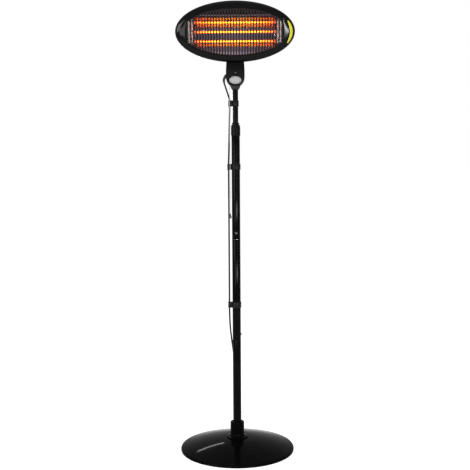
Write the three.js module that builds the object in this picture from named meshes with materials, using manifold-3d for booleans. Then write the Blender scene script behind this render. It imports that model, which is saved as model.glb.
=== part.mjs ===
// Infrared patio heater tower: an elliptical quartz heater head that tilts on a telescopic mast,
// clamped in a three-part pole on a round weighted base. Millimetres, +Z up, the front faces -Y.
// The origin is on the floor, under the middle of the pole.
import * as THREE from "three";
import { mergeVertices, toCreasedNormals } from "three/addons/utils/BufferGeometryUtils.js";
import Module from "manifold-3d";

const wasm = await Module();
wasm.setup();

// ---------------------------------------------------------------- driving dimensions

const seatGap = 0.3; // between pieces that touch

// base
const baseRadius = 230;
const footHeight = 3;
const footRadius = 15;
const footInset = 40;
const footCircle = baseRadius - footInset;
const footCount = 4;
const domeSteps = 8;
const recessSlope = 3;
const hexSides = 6;
const lipLift = 1.2;
const rimHeight = 13;
const rimWidth = 6;
const domeHeight = 50;
const domeFlatRadius = 46;
const domePower = 1.5;
const coverWall = 1.5;
const trayWall = 2;
const trayRecessRadius = 24;
const trayRecessHeight = 12;
const weightBore = 32;
const boltRadius = 5;
const boltClearance = 0.8;
const boltHeadRadius = 8.5;
const boltHeadHeight = 6;

// pole
const poleRadius = 16.75;
const poleWall = 1.2;
const poleClearance = 0.3;
const poleTop = 1300;
const seamDrops = [853, 442]; // from the pole's top
const seamHeights = seamDrops.map((drop) => poleTop - drop);
const couplerReach = 36;
const couplerWall = 1.5;
const screwAboveSeam = 25.5;
const screwTurns = [0, -Math.PI / 2]; // the lower screw faces +X, the upper one faces the front
const screwHeadRadius = 5.5;
const screwHeadHeight = 3.2;
const screwShankRadius = 2.4;
const screwShankLength = 5.5;

// socket on the base
const socketWall = 11.5;
const socketRadius = poleRadius + socketWall;
const socketHeight = 65;
const socketTop = domeHeight + socketHeight;
const socketFloor = 7.5;
const flangeWidth = 15.25;
const flangeRadius = socketRadius + flangeWidth;
const flangeThickness = 4;
const flangeEdge = 1.5;
const socketShoulder = 6;
const socketFoot = 10;
const roundSteps = 3; // faces in a rounded edge

// telescopic mast and its twist lock
const mastRadius = 11;
const mastWall = 1.2;
const mastInside = 340; // mast below the pole's top, when slid down
const mastShown = 196; // mast above it
const mastBottom = poleTop - mastInside;
const mastTop = poleTop + mastShown;
const guideFloor = 8;
const guideLength = 33;
const guideHole = 7;
const sleeveBelow = 30;
const sleeveAbove = 13;
const sleeveBottom = poleTop - sleeveBelow;
const sleeveTop = poleTop + sleeveAbove;
const sleeveFootWall = 2.05;
const sleeveTopWall = 1.35;
const sleeveBottomRadius = poleRadius + sleeveFootWall;
const sleeveTopRadius = poleRadius + sleeveTopWall;
const sleeveRibs = 12;
const sleeveRibDepth = 0.45;
const sleeveStepsPerRib = 3;
const colletWall = 3.4;
const colletRadius = mastRadius + colletWall;
const colletDepth = 38;
const colletAbove = 22.5;
const colletTop = poleTop + colletAbove;
const colletLedge = 2.4;
const colletRounding = 2;
const sleeveFoot = 0.6;
const sleeveShoulder = 2.4;
const sleeveShoulderHeight = 3.5;

// neck housing
const neckHalfWidth = 37;
const neckNarrowing = 1.8;
const neckTopHalfWidth = neckHalfWidth - neckNarrowing;
const neckCentreRise = 6.6; // above the mast's end
const neckCentreHeight = mastTop + neckCentreRise;
const neckTopRise = 67.4; // this and the next rises are from the centre of the neck's round foot
const neckTop = neckCentreHeight + neckTopRise;
const neckFront = -22;
const hingeY = 13.5;
const bracketRadius = 13;
const neckBehindBracket = 5.5;
const neckBack = hingeY + bracketRadius + neckBehindBracket;
const neckTopFront = -8;
const neckSlopeRise = 22.4;
const neckSlopeStart = neckCentreHeight + neckSlopeRise;
const neckSplit = 6;
const neckWall = 3;
const neckBevel = 5;
const neckNutRadius = 21.5;
const neckNutLip = 1.2;
const neckNutLipHeight = 3;
const neckNutConeHeight = 13;
const neckNutShoulder = 17;
const neckNutShown = 12.6;
const neckNutBottom = neckCentreHeight - neckHalfWidth - neckNutShown;
const neckNutRibs = 12;
const neckNutRibDepth = 0.6;
const recessRadius = 7.5;
const recessDepth = 4;
const recessRise = 14.4;
const recessHeight = neckCentreHeight + recessRise;
const recessSide = 2;
const neckScrewLength = 22;
const neckScrewHeadRadius = 4.5;
const neckScrewHeadHeight = 2.6;
const glandRadius = 6;
const glandTaper = 1.2;
const glandInside = 9;
const glandLean = THREE.MathUtils.degToRad(40);
const switchRise = 6.4;
const switchHeight = 27;
const switchBottom = neckCentreHeight + switchRise;
const switchTop = switchBottom + switchHeight;
const switchDepth = 20;
const switchInset = 8.5;
const switchSide = neckHalfWidth - switchInset;
const drumRadius = 4.5;
const drumDrop = 4;
const drumBottom = switchBottom - drumDrop;
const terminalDrop = 2.6;
const terminalHeight = 46;
const terminalBottom = neckCentreHeight - terminalDrop;
const terminalTop = terminalBottom + terminalHeight;
const terminalDepth = 16;
const terminalCount = 3;
const wireRadius = 2.2;
const insideClear = 2; // between the bracket and what the neck holds
const insideInset = 6.5;
const insideHalfWidth = neckHalfWidth - insideInset;
const fallSwitchRise = 3.4;
const fallSwitchHeight = 24;
const fallSwitchBottom = neckCentreHeight + fallSwitchRise;
const fallSwitchTop = fallSwitchBottom + fallSwitchHeight;
const fallSwitchDepth = 14;
const plungerRadius = 3;
const plungerDrop = 6;

// tilt hinge
const knobRadius = 15;
const knobAboveNeck = 2.5;
const hingeZ = neckTop + knobRadius + knobAboveNeck;
const bracketHalf = 11;
const bracketFootHeight = 14;
const spigotLength = 34;
const earThickness = 9;
const earRadius = 14;
const hingeBoltRadius = 4;
const hingeHeadRadius = 7.5;
const hingeHeadHeight = 5;
const knobLength = 18;
const knobLobes = 8;
const knobLobeDepth = 0.9;
const knobStemShare = 0.58; // of the knob's radius
const knobStemLength = 5;
const knobRounding = 2;
const knobFloor = 4;

// head, in its own turned frame: X across, Y towards the back, Z up the face
const headTilt = THREE.MathUtils.degToRad(17);
const headReach = 88.5; // from the hinge forward to the head's middle
const headY = hingeY - headReach;
const headHalfWidth = 231.5;
const headHalfHeight = 116;
const hingeInset = 38.5; // the hinge's height within the head's lower half
const headZ = hingeZ + headHalfHeight - hingeInset;
const bezelSide = 25.5;
const bezelEnd = 51;
const bezelBand = 28;
const openingArc = headHalfWidth - bezelSide; // half width of the ellipse that the long edges follow
const openingHalfWidth = headHalfWidth - bezelEnd;
const openingHalfHeight = headHalfHeight - bezelBand;
const skirtDepth = 10;
const skirtWall = 2.5;
const lipDepth = 15;
const lipBack = -9;
const shellDepth = 50;
const shellWall = 2;
const ventWidth = 6;
const ventLength = 26;
const ventPitch = 24;
const ventStart = 62;
const ventCount = 3;
const ventHeight = 56;
const ventDrop = 4; // each vent sits this much lower than the one inside it
const ventCutterShare = 2.2; // how far behind the head a vent's cutter stands, in shell depths
const guardThickness = 3;
const guardPitch = 11;
const guardGap = 5.6;
const guardMargin = 2.2;
const guardSideCount = Math.floor((openingHalfWidth - guardGap / 2) / guardPitch);
const guardGaps = 2 * guardSideCount + 1;
const guardSeatShare = 0.82; // of the way from the rim to the opening

// heating elements and reflector
const tubePitch = 35.5;
const tubeDrop = 1;
const tubeHeights = [1, 0, -1].map((row) => row * tubePitch - tubeDrop);
const tubeDepth = 6;
const tubeRadius = 5.5;
const tubeWall = 1;
const tubeInset = 59.5;
const tubeHalfLength = headHalfWidth - tubeInset;
const coilInset = 23;
const coilHalfLength = tubeHalfLength - coilInset;
const coilRadius = 3;
const leadRadius = 1;
const capRadius = 7.2;
const capCover = 15;
const capOverhang = 6;
const capStart = tubeHalfLength - capCover;
const capEnd = tubeHalfLength + capOverhang;
const holderInset = 50.5;
const holderOuter = headHalfWidth - holderInset;
const holderBack = 24;
const holderWall = 1.2;
const holderHalfHeight = 50;
const holderTaper = 8;
const holderHoleLength = 20;
const ovalHalfWidth = 4.5;
const ovalSpare = 7.25; // between an oval's tips and the tubes' middles
const ovalHalfHeight = tubePitch / 2 - ovalSpare;
const ovalPlaceShare = 0.56; // of the slanted plate, from its inner edge
const reflectorAboveTubes = 29.5;
const reflectorBelowTubes = 57.5;
const reflectorTop = tubeHeights[0] + reflectorAboveTubes;
const reflectorBottom = tubeHeights[2] - reflectorBelowTubes;
const reflectorDepth = 32;
const reflectorWall = 0.8;
const reflectorInset = 21;
const reflectorHalfLength = holderOuter - reflectorInset;
const reflectorTrim = 13;
const reflectorSteps = 14;

// junction box behind the head
const boxHalfWidth = 40;
const boxTopInset = 7;
const boxBottomInset = 32;
const boxTop = headHalfHeight - boxTopInset;
const boxBottom = boxBottomInset - headHalfHeight;
const boxDepth = 82;
const boxWall = 3;
const boxCorner = 12;
const boxBevel = 6;
const cutoutRadius = 9;
const cutoutHeight = 6;
const cutoutPlace = 40;

// cords
const cordRadius = 3.25;
const cordSides = 6;
const clipHeight = 24;
const clipWall = 2;
const clipBridge = 8;
const clipAboveSeam = 146;
const clipBelowTop = 152;
const clipBelowNeck = 103.6;
const clipHeights = [
  seamHeights[0] + clipAboveSeam,
  poleTop - clipBelowTop,
  neckCentreHeight - clipBelowNeck,
];
const cordOffPole = 11.85;
const cordOffMast = 12;
const clipCordX = [-poleRadius - cordOffPole, -poleRadius - cordOffPole, -mastRadius - cordOffMast];
const pullCordRadius = 0.9;
const pullCordAside = 1.5; // of the mast nut
const pullCordBehind = 8; // the neck's front
const pullCordX = -neckNutRadius - pullCordAside;
const pullCordY = neckFront + pullCordBehind;
const pullCordRise = 4.4;
const pullCordLength = 544;
const pullCordTop = neckCentreHeight + pullCordRise;
const pullKnobTop = pullCordTop - pullCordLength;
const pullKnobLength = 21.5;
const pullKnobRadius = 5;
const pullKnobNeck = 1.9;
const spoutRadius = 3.4;
const spoutDrop = 3;
const spoutBelow = 12.6;
const spoutTop = neckCentreHeight - spoutBelow;
const plugRadius = 18;
const plugAway = 188; // from the base's rim
const plugStart = baseRadius + plugAway;
const plugTail = 30;
const plugBody = 32;
const plugNeckRadius = 4.5;
const plugNeckEnd = 6.6;
const plugShoulder = 13;
const plugRounding = 1.5;
const pinRadius = 2.4;
const pinLength = 19;
const pinSpacing = 19;
const cordSteps = { upper: 16, middle: 6, lower: 64, pull: 8 };

// how finely round forms are stepped
const baseSteps = 36;
const tubeSteps = 20;
const smallSteps = 12;
const headSteps = 40;

// ---------------------------------------------------------------- finishes

function finish(colour, roughness, metalness) {
  return new THREE.MeshStandardMaterial({ color: colour, roughness, metalness });
}

const glossBlack = finish(0x0c0c0d, 0.18, 0.2);
const satinBlack = finish(0x141415, 0.55, 0);
const darkGrey = finish(0x2a2b2d, 0.5, 0.2);
const rubber = finish(0x101010, 0.85, 0);
const concrete = finish(0x8c8a84, 0.9, 0);
const steel = finish(0x9a9c9f, 0.35, 1);
const aluminium = finish(0xc9cbd0, 0.18, 1);
const ceramic = finish(0xe4e0d6, 0.6, 0);
const quartz = finish(0xf4d6b0, 0.15, 0);
const glow = finish(0xffb030, 0.5, 0);
const cordBlack = finish(0x0e0e0e, 0.6, 0);
const cordGrey = finish(0x8a8a8a, 0.7, 0);

// ---------------------------------------------------------------- shape tools

// Merges shared points, drops flat faces and turns the surface to face out.
function closed(geometry) {
  const bare = new THREE.BufferGeometry();
  bare.setAttribute("position", geometry.getAttribute("position"));
  bare.setIndex(geometry.index);
  const merged = mergeVertices(bare, 1e-3);
  const place = merged.getAttribute("position");
  const corner = [new THREE.Vector3(), new THREE.Vector3(), new THREE.Vector3()];
  const kept = [];
  let volume = 0;
  for (let i = 0; i < merged.index.count; i += 3) {
    const face = [0, 1, 2].map((k) => merged.index.getX(i + k));
    if (face[0] === face[1] || face[1] === face[2] || face[2] === face[0]) continue;
    face.forEach((v, k) => corner[k].fromBufferAttribute(place, v));
    volume += corner[0].dot(corner[1].cross(corner[2]));
    kept.push(face);
  }
  const index = kept.flatMap((face) => (volume < 0 ? [face[0], face[2], face[1]] : face));
  merged.setIndex(index);
  return merged;
}

function solidOf(geometry) {
  const body = closed(geometry);
  const vertProperties = body.getAttribute("position").array;
  const triVerts = new Uint32Array(body.index.array);
  return new wasm.Manifold(new wasm.Mesh({ numProp: 3, vertProperties, triVerts }));
}

function geometryOf(solid) {
  const mesh = solid.getMesh();
  const geometry = new THREE.BufferGeometry();
  geometry.setAttribute("position", new THREE.BufferAttribute(mesh.vertProperties, 3));
  geometry.setIndex(new THREE.BufferAttribute(mesh.triVerts, 1));
  return geometry;
}

function cut(body, ...tools) {
  return geometryOf(tools.reduce((left, tool) => left.subtract(solidOf(tool)), solidOf(body)));
}

function join(...bodies) {
  return geometryOf(bodies.map(solidOf).reduce((whole, body) => whole.add(body)));
}

function common(first, second) {
  return geometryOf(solidOf(first).intersect(solidOf(second)));
}

// A profile of [radius, height] pairs turned about Z. One that misses the axis closes on itself.
function turned(profile, steps) {
  const points = profile.map(([radius, height]) => new THREE.Vector2(radius, height));
  const onAxis = profile[0][0] === 0 && profile[profile.length - 1][0] === 0;
  if (!onAxis) points.push(points[0].clone());
  return closed(new THREE.LatheGeometry(points, steps).rotateX(Math.PI / 2));
}

// Profile points on an arc. A radius below zero draws it hollow.
function rounded(acrossCentre, heightCentre, radius, from, to) {
  const points = [];
  for (let i = 0; i <= roundSteps; i++) {
    const angle = from + ((to - from) * i) / roundSteps;
    points.push([acrossCentre + radius * Math.cos(angle), heightCentre + radius * Math.sin(angle)]);
  }
  return points;
}

function tube(outer, wall, bottom, top, steps) {
  const inner = outer - wall;
  return turned([[inner, bottom], [outer, bottom], [outer, top], [inner, top]], steps);
}

function rod(radius, bottom, top, steps) {
  return turned([[0, bottom], [radius, bottom], [radius, top], [0, top]], steps);
}

function alongX(geometry) {
  return geometry.rotateY(Math.PI / 2);
}

function alongY(geometry) {
  return geometry.rotateX(-Math.PI / 2);
}

// Turns an upright piece so that its top faces the front, -Y.
function facingFront(geometry) {
  return geometry.rotateX(Math.PI / 2);
}

function block(low, high) {
  const [x, y, z] = high.map((value, axis) => value - low[axis]);
  const middle = high.map((value, axis) => (value + low[axis]) / 2);
  return new THREE.BoxGeometry(x, y, z).translate(...middle);
}

// Rings of equal point counts, skinned one to the next. Looped rings close on the first one,
// and open ones are closed by a fan at each end.
function skinned(rings, looped) {
  const count = rings[0].length;
  const points = rings.flat(2);
  const index = [];
  const last = looped ? rings.length : rings.length - 1;
  for (let r = 0; r < last; r++) {
    const next = (r + 1) % rings.length;
    for (let i = 0; i < count; i++) {
      const j = (i + 1) % count;
      index.push(r * count + i, r * count + j, next * count + j);
      index.push(r * count + i, next * count + j, next * count + i);
    }
  }
  if (!looped) {
    [0, rings.length - 1].forEach((r) => {
      const centre = points.length / 3;
      const total = rings[r].reduce((sum, p) => sum.map((v, k) => v + p[k]), [0, 0, 0]);
      points.push(...total.map((v) => v / count));
      for (let i = 0; i < count; i++) {
        const edge = [r * count + i, r * count + ((i + 1) % count)];
        index.push(centre, ...(r === 0 ? edge.reverse() : edge));
      }
    });
  }
  const geometry = new THREE.BufferGeometry();
  geometry.setAttribute("position", new THREE.Float32BufferAttribute(points, 3));
  geometry.setIndex(index);
  return closed(geometry);
}

// Pushes the outside of a turned piece in and out to form grip ribs.
function ribbed(geometry, beyond, ribs, depth) {
  const place = geometry.getAttribute("position");
  for (let i = 0; i < place.count; i++) {
    const x = place.getX(i);
    const y = place.getY(i);
    const radius = Math.hypot(x, y);
    if (radius < beyond) continue;
    const grown = (radius + depth * Math.cos(ribs * Math.atan2(y, x))) / radius;
    place.setXY(i, x * grown, y * grown);
  }
  return geometry;
}

// A round cord along hand-chosen points.
function cordAlong(points, radius, sides, steps) {
  const section = new THREE.Shape();
  for (let i = 0; i < sides; i++) {
    const angle = (2 * Math.PI * i) / sides;
    const corner = [radius * Math.cos(angle), radius * Math.sin(angle)];
    if (i === 0) section.moveTo(...corner);
    else section.lineTo(...corner);
  }
  section.closePath();
  const stations = points.map((p) => new THREE.Vector3(...p));
  const extrudePath = new THREE.CatmullRomCurve3(stations, false, "centripetal");
  return closed(new THREE.ExtrudeGeometry(section, { steps, extrudePath, bevelEnabled: false }));
}

const tower = new THREE.Group();
const headGroup = new THREE.Group();
headGroup.position.set(0, headY, headZ);
headGroup.rotation.x = headTilt;
tower.add(headGroup);

function add(name, geometry, material, group = tower) {
  const crease = 0.6;
  const mesh = new THREE.Mesh(toCreasedNormals(geometry, crease), material);
  mesh.name = name;
  group.add(mesh);
}

// ---------------------------------------------------------------- base

// Height of the cover's top skin at a radius.
function domeAt(radius) {
  const share = Math.max(0, radius - domeFlatRadius) / (baseRadius - rimWidth - domeFlatRadius);
  return rimHeight + (domeHeight - rimHeight) * (1 - share ** domePower);
}

function domeProfile(from, to, drop, steps) {
  const points = [];
  for (let i = 0; i <= steps; i++) {
    const radius = from + ((to - from) * i) / steps;
    points.push([radius, domeAt(radius) - drop]);
  }
  return points;
}

function makeBase() {
  const bore = boltRadius + boltClearance;
  const domeEnd = baseRadius - rimWidth;
  const top = domeProfile(domeFlatRadius, domeEnd, 0, domeSteps);
  const under = domeProfile(domeFlatRadius, domeEnd, coverWall, domeSteps / 2).reverse();
  const outerLip = [
    [baseRadius - rimWidth / 3, rimHeight - rimWidth / 4],
    [baseRadius, rimHeight - rimWidth],
    [baseRadius, lipLift],
  ];
  const innerLip = [
    [baseRadius - coverWall, lipLift],
    [baseRadius - coverWall, rimHeight - rimWidth],
  ];
  const coverBore = [bore, domeHeight - coverWall];
  const cover = [[bore, domeHeight], ...top, ...outerLip, ...innerLip, ...under, coverBore];
  add("base_cover", turned(cover, baseSteps), glossBlack);

  const trayBottom = footHeight + seatGap;
  const trayRadius = baseRadius - coverWall - seatGap;
  const tray = [
    [bore, trayRecessHeight],
    [trayRecessRadius - recessSlope, trayRecessHeight],
    [trayRecessRadius, trayBottom],
    [trayRadius, trayBottom],
    [trayRadius, trayBottom + trayWall],
    [trayRecessRadius + trayWall, trayBottom + trayWall],
    [trayRecessRadius - recessSlope + trayWall, trayRecessHeight + trayWall],
    [bore, trayRecessHeight + trayWall],
  ];
  add("base_tray", turned(tray, baseSteps), darkGrey);

  const weightEdge = domeEnd - rimWidth;
  const weightBottom = trayBottom + trayWall + seatGap;
  const weightDrop = coverWall + seatGap;
  const weightTop = domeProfile(domeFlatRadius, weightEdge, weightDrop, domeSteps / 2).reverse();
  const weightFoot = [[weightBore, weightBottom], [weightEdge, weightBottom]];
  const weight = [...weightFoot, ...weightTop, [weightBore, domeHeight - weightDrop]];
  add("base_weight", turned(weight, baseSteps), concrete);

  for (let i = 0; i < footCount; i++) {
    const angle = (2 * Math.PI * (i + 0.5)) / footCount;
    const pad = [[0, 0], [footRadius - 1, 0], [footRadius, 1], [footRadius, footHeight], [0, footHeight]];
    const foot = turned(pad, smallSteps);
    foot.translate(footCircle * Math.cos(angle), footCircle * Math.sin(angle), 0);
    add(`base_foot_${i + 1}`, foot, rubber);
  }

  const headTop = trayRecessHeight - seatGap;
  const floorTop = domeHeight + seatGap + socketFloor;
  const boltHead = rod(boltHeadRadius, headTop - boltHeadHeight, headTop, hexSides);
  const shank = rod(boltRadius, headTop - boltHeadHeight / 2, floorTop, smallSteps);
  add("base_bolt", join(boltHead, shank), steel);
}

function makeSocket() {
  const bottom = domeHeight + seatGap;
  const bore = poleRadius + poleClearance;
  const floorTop = bottom + socketFloor;
  const flangeTop = bottom + flangeThickness;
  const middle = socketRadius - socketShoulder;
  const profile = [
    [boltRadius + boltClearance, bottom],
    [flangeRadius, bottom],
    [flangeRadius, flangeTop - flangeEdge],
    [flangeRadius - flangeEdge, flangeTop],
    ...rounded(socketRadius + socketFoot, flangeTop + socketFoot, -socketFoot, Math.PI / 2, 0),
    ...rounded(middle, socketTop - socketShoulder, socketShoulder, 0, Math.PI / 2),
    [bore, socketTop],
    [bore, floorTop],
    [boltRadius + boltClearance, floorTop],
  ];
  add("pole_socket", turned(profile, tubeSteps), satinBlack);
}

// ---------------------------------------------------------------- pole

function screwHole(height, turn) {
  const hole = alongX(rod(screwShankRadius + seatGap, 0, 2 * poleRadius, smallSteps));
  return hole.rotateZ(turn).translate(0, 0, height);
}

function makePole() {
  const bottom = domeHeight + socketFloor + 2 * seatGap;
  const ends = [bottom, ...seamHeights, poleTop];
  const names = ["pole_lower", "pole_middle", "pole_upper"];
  const screwHeights = seamHeights.map((seam) => seam + screwAboveSeam);
  names.forEach((name, i) => {
    const low = i === 0 ? ends[i] : ends[i] + seatGap / 2;
    const high = i === names.length - 1 ? ends[i + 1] : ends[i + 1] - seatGap / 2;
    const pipe = tube(poleRadius, poleWall, low, high, tubeSteps);
    const drilled = i === 0 ? pipe : cut(pipe, screwHole(screwHeights[i - 1], screwTurns[i - 1]));
    add(name, drilled, glossBlack);
  });

  const couplerRadius = poleRadius - poleWall - poleClearance;
  seamHeights.forEach((seam, i) => {
    const sleeve = tube(couplerRadius, couplerWall, seam - couplerReach, seam + couplerReach, tubeSteps);
    const names = ["pole_coupler_lower", "pole_coupler_upper"];
    add(names[i], cut(sleeve, screwHole(screwHeights[i], screwTurns[i])), steel);

    const seat = poleRadius + seatGap;
    const dome = rounded(0, 0, 1, 0, Math.PI / 2);
    const screw = turned(
      [
        [0, seat - screwShankLength],
        [screwShankRadius, seat - screwShankLength],
        [screwShankRadius, seat],
        ...dome.slice(0, -1).map(([r, h]) => [r * screwHeadRadius, seat + h * screwHeadHeight]),
        [0, seat + screwHeadHeight],
      ],
      smallSteps,
    );
    const screwNames = ["pole_screw_lower", "pole_screw_upper"];
    add(screwNames[i], alongX(screw).rotateZ(screwTurns[i]).translate(0, 0, screwHeights[i]), steel);
  });
}

function makeLock() {
  const colletBore = mastRadius + poleClearance;
  const inPole = poleRadius - poleWall - poleClearance;
  const step = poleTop + seatGap;
  const collet = [
    [colletBore, poleTop - colletDepth],
    [inPole, poleTop - colletDepth],
    [inPole, step],
    [poleRadius, step],
    [poleRadius, step + colletLedge],
    [colletRadius, step + colletLedge],
    [colletRadius, colletTop - colletRounding],
    [colletRadius - colletRounding, colletTop],
    [colletBore, colletTop],
  ];
  add("lock_collet", turned(collet, tubeSteps), satinBlack);

  const wide = poleRadius + 1.5 * seatGap;
  const narrow = colletRadius + seatGap;
  const shoulder = step + colletLedge + seatGap;
  const sleeve = [
    [wide, sleeveBottom],
    [sleeveBottomRadius - sleeveFoot, sleeveBottom],
    [sleeveBottomRadius, sleeveBottom + 2 * sleeveFoot],
    [sleeveTopRadius, sleeveTop - sleeveShoulderHeight],
    [sleeveTopRadius - sleeveShoulder / 3, sleeveTop - sleeveShoulderHeight / 3],
    [sleeveTopRadius - sleeveShoulder, sleeveTop],
    [narrow, sleeveTop],
    [narrow, shoulder],
    [wide, shoulder],
  ];
  const steps = sleeveRibs * sleeveStepsPerRib;
  const grip = ribbed(turned(sleeve, steps), wide + seatGap, sleeveRibs, sleeveRibDepth);
  add("lock_sleeve", grip, satinBlack);
}

function makeMast() {
  add("mast_tube", tube(mastRadius, mastWall, mastBottom, mastTop, tubeSteps), glossBlack);
  const outer = poleRadius - poleWall - poleClearance;
  const seat = mastBottom - seatGap;
  const guide = [
    [guideHole, seat - guideFloor],
    [outer, seat - guideFloor],
    [outer, seat - guideFloor + guideLength],
    [mastRadius + seatGap, seat - guideFloor + guideLength],
    [mastRadius + seatGap, seat],
    [guideHole, seat],
  ];
  add("mast_guide", turned(guide, tubeSteps), satinBlack);
}

// ---------------------------------------------------------------- neck

// The neck's front outline, drawn in from its outside by a wall, and extruded front to back.
function neckForm(inset, bevel) {
  const radius = neckHalfWidth - inset;
  const top = neckTop - inset;
  const shape = new THREE.Shape();
  shape.moveTo(neckTopHalfWidth - inset, top);
  shape.lineTo(inset - neckTopHalfWidth, top);
  shape.lineTo(-radius, neckSlopeStart);
  shape.lineTo(-radius, neckCentreHeight);
  shape.absarc(0, neckCentreHeight, radius, Math.PI, 2 * Math.PI, false);
  shape.lineTo(radius, neckSlopeStart);
  shape.closePath();
  const depth = neckBack - neckFront - 2 * inset;
  const bevels = { bevelThickness: bevel, bevelSize: bevel, bevelOffset: -bevel, bevelSegments: 2 };
  const form = new THREE.ExtrudeGeometry(shape, { ...bevels, depth: depth - 2 * bevel, curveSegments: 8 });
  form.rotateX(Math.PI / 2).translate(0, neckBack - inset - bevel, 0);
  // The front leans back above the recess, to leave room for the head when it tips down.
  const wedge = new THREE.Shape();
  const lean = (neckTopFront - neckFront) / (neckTop - neckSlopeStart);
  const beyond = 20;
  wedge.moveTo(neckFront + inset, neckSlopeStart);
  wedge.lineTo(neckTopFront + inset + beyond * lean, neckTop + beyond);
  wedge.lineTo(neckFront - beyond, neckTop + beyond);
  wedge.lineTo(neckFront - beyond, neckSlopeStart);
  wedge.closePath();
  return cut(form, extrudedAcross(wedge, neckHalfWidth + 1));
}

// A shape drawn as (y, z), extruded along X to both sides of the middle.
function extrudedAcross(shape, half, curveSegments = 12) {
  const body = new THREE.ExtrudeGeometry(shape, { depth: 2 * half, bevelEnabled: false, curveSegments });
  const turn = new THREE.Matrix4().makeBasis(
    new THREE.Vector3(0, 1, 0),
    new THREE.Vector3(0, 0, 1),
    new THREE.Vector3(1, 0, 0),
  );
  return body.applyMatrix4(turn).translate(-half, 0, 0);
}

function bracketOutline() {
  const shape = new THREE.Shape();
  const half = mastRadius - 1;
  const bottom = mastTop + seatGap;
  const shoulder = bottom + bracketFootHeight;
  shape.moveTo(hingeY + bracketRadius, hingeZ);
  shape.absarc(hingeY, hingeZ, bracketRadius, 0, Math.PI, false);
  shape.lineTo(hingeY - bracketRadius, shoulder + half);
  shape.lineTo(-half, shoulder);
  shape.lineTo(-half, bottom);
  shape.lineTo(half, bottom);
  shape.lineTo(half, shoulder);
  shape.lineTo(hingeY + bracketRadius, shoulder + hingeY + bracketRadius - half);
  shape.closePath();
  return shape;
}

function makeNeck() {
  const outer = neckForm(0, neckBevel);
  const cavity = neckForm(neckWall, neckBevel - neckWall);
  const far = 200;
  const mastHole = rod(mastRadius + seatGap, neckCentreHeight - far / 2, mastTop, tubeSteps);
  const slotHalf = bracketHalf + seatGap;
  const slotLow = [-slotHalf, hingeY - bracketRadius - seatGap, neckTop - far / 10];
  const slotHigh = [slotHalf, hingeY + bracketRadius + seatGap, neckTop + far];
  const slot = block(slotLow, slotHigh);
  const glandHole = glandPart(seatGap);
  const cordHole = rod(pullCordRadius + seatGap, neckCentreHeight - far / 4, spoutTop, 10);
  cordHole.translate(pullCordX, pullCordY, 0);
  // The pull cord leaves through a short moulded spout.
  const sill = neckCentreHeight - Math.sqrt(neckHalfWidth ** 2 - pullCordX ** 2);
  const spout = rod(spoutRadius, sill - spoutDrop, sill + neckWall * 2, smallSteps);
  spout.translate(pullCordX, pullCordY, 0);

  const bossBack = -neckFront - recessDepth - neckWall;
  const boss = facingFront(rod(recessRadius + neckWall, bossBack, -neckFront - 1, smallSteps));
  boss.translate(recessSide, 0, recessHeight);
  const recess = facingFront(rod(recessRadius, -neckFront - recessDepth, far, smallSteps));
  recess.translate(recessSide, 0, recessHeight);
  const screwSeat = -neckFront - recessDepth + seatGap;
  const screwWay = rod(screwShankRadius + seatGap, screwSeat - neckScrewLength - seatGap, far, smallSteps);
  const screwHoleTool = facingFront(screwWay);
  screwHoleTool.translate(recessSide, 0, recessHeight);

  const shell = cut(outer, cavity, mastHole, slot);
  const frontHalf = block([-far, -far, neckTop - far], [far, neckSplit - seatGap / 2, neckTop + 1]);
  const backHalf = block([-far, neckSplit + seatGap / 2, neckTop - far], [far, far, neckTop + 1]);
  const front = join(common(shell, frontHalf), boss, spout);
  add("neck_front", cut(front, recess, screwHoleTool, glandHole, cordHole), satinBlack);
  add("neck_rear", cut(common(shell, backHalf), glandHole), satinBlack);

  // The screw goes through the front shell into the bracket.
  const screwRadius = screwShankRadius - seatGap;
  const screw = turned(
    [
      [0, screwSeat - neckScrewLength],
      [screwRadius, screwSeat - neckScrewLength],
      [screwRadius, screwSeat],
      [neckScrewHeadRadius, screwSeat],
      [neckScrewHeadRadius - neckScrewHeadHeight / 4, screwSeat + neckScrewHeadHeight * 0.7],
      [0, screwSeat + neckScrewHeadHeight],
    ],
    smallSteps,
  );
  add("neck_screw", facingFront(screw).translate(recessSide, 0, recessHeight), steel);

  const spigotTop = mastTop + 2;
  const spigot = rod(mastRadius - mastWall - seatGap, spigotTop - spigotLength, spigotTop, smallSteps);
  const bracket = extrudedAcross(bracketOutline(), bracketHalf, 8);
  const pivotHole = alongX(rod(hingeBoltRadius + seatGap, -far, far, smallSteps));
  pivotHole.translate(0, hingeY, hingeZ);
  add("hinge_bracket", cut(join(bracket, spigot), pivotHole, screwHoleTool), darkGrey);

  const nutTop = neckCentreHeight - neckHalfWidth / 2;
  const bore = mastRadius + seatGap;
  const nut = [
    [bore, neckNutBottom],
    [bore + neckNutLip, neckNutBottom],
    [bore + 2 * neckNutLip + neckNutRibDepth / 3, neckNutBottom + neckNutLipHeight],
    [neckNutRadius - neckNutLip, neckNutBottom + neckNutConeHeight],
    [neckNutRadius, neckNutBottom + neckNutShoulder],
    [neckNutRadius, nutTop],
    [bore, nutTop],
  ];
  const grip = ribbed(turned(nut, 3 * neckNutRibs), bore + 2, neckNutRibs, neckNutRibDepth);
  const neckRound = alongY(rod(neckHalfWidth + seatGap, -far, far, 2 * tubeSteps));
  neckRound.translate(0, 0, neckCentreHeight);
  add("mast_nut", cut(grip, neckRound), darkGrey);
}

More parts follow.
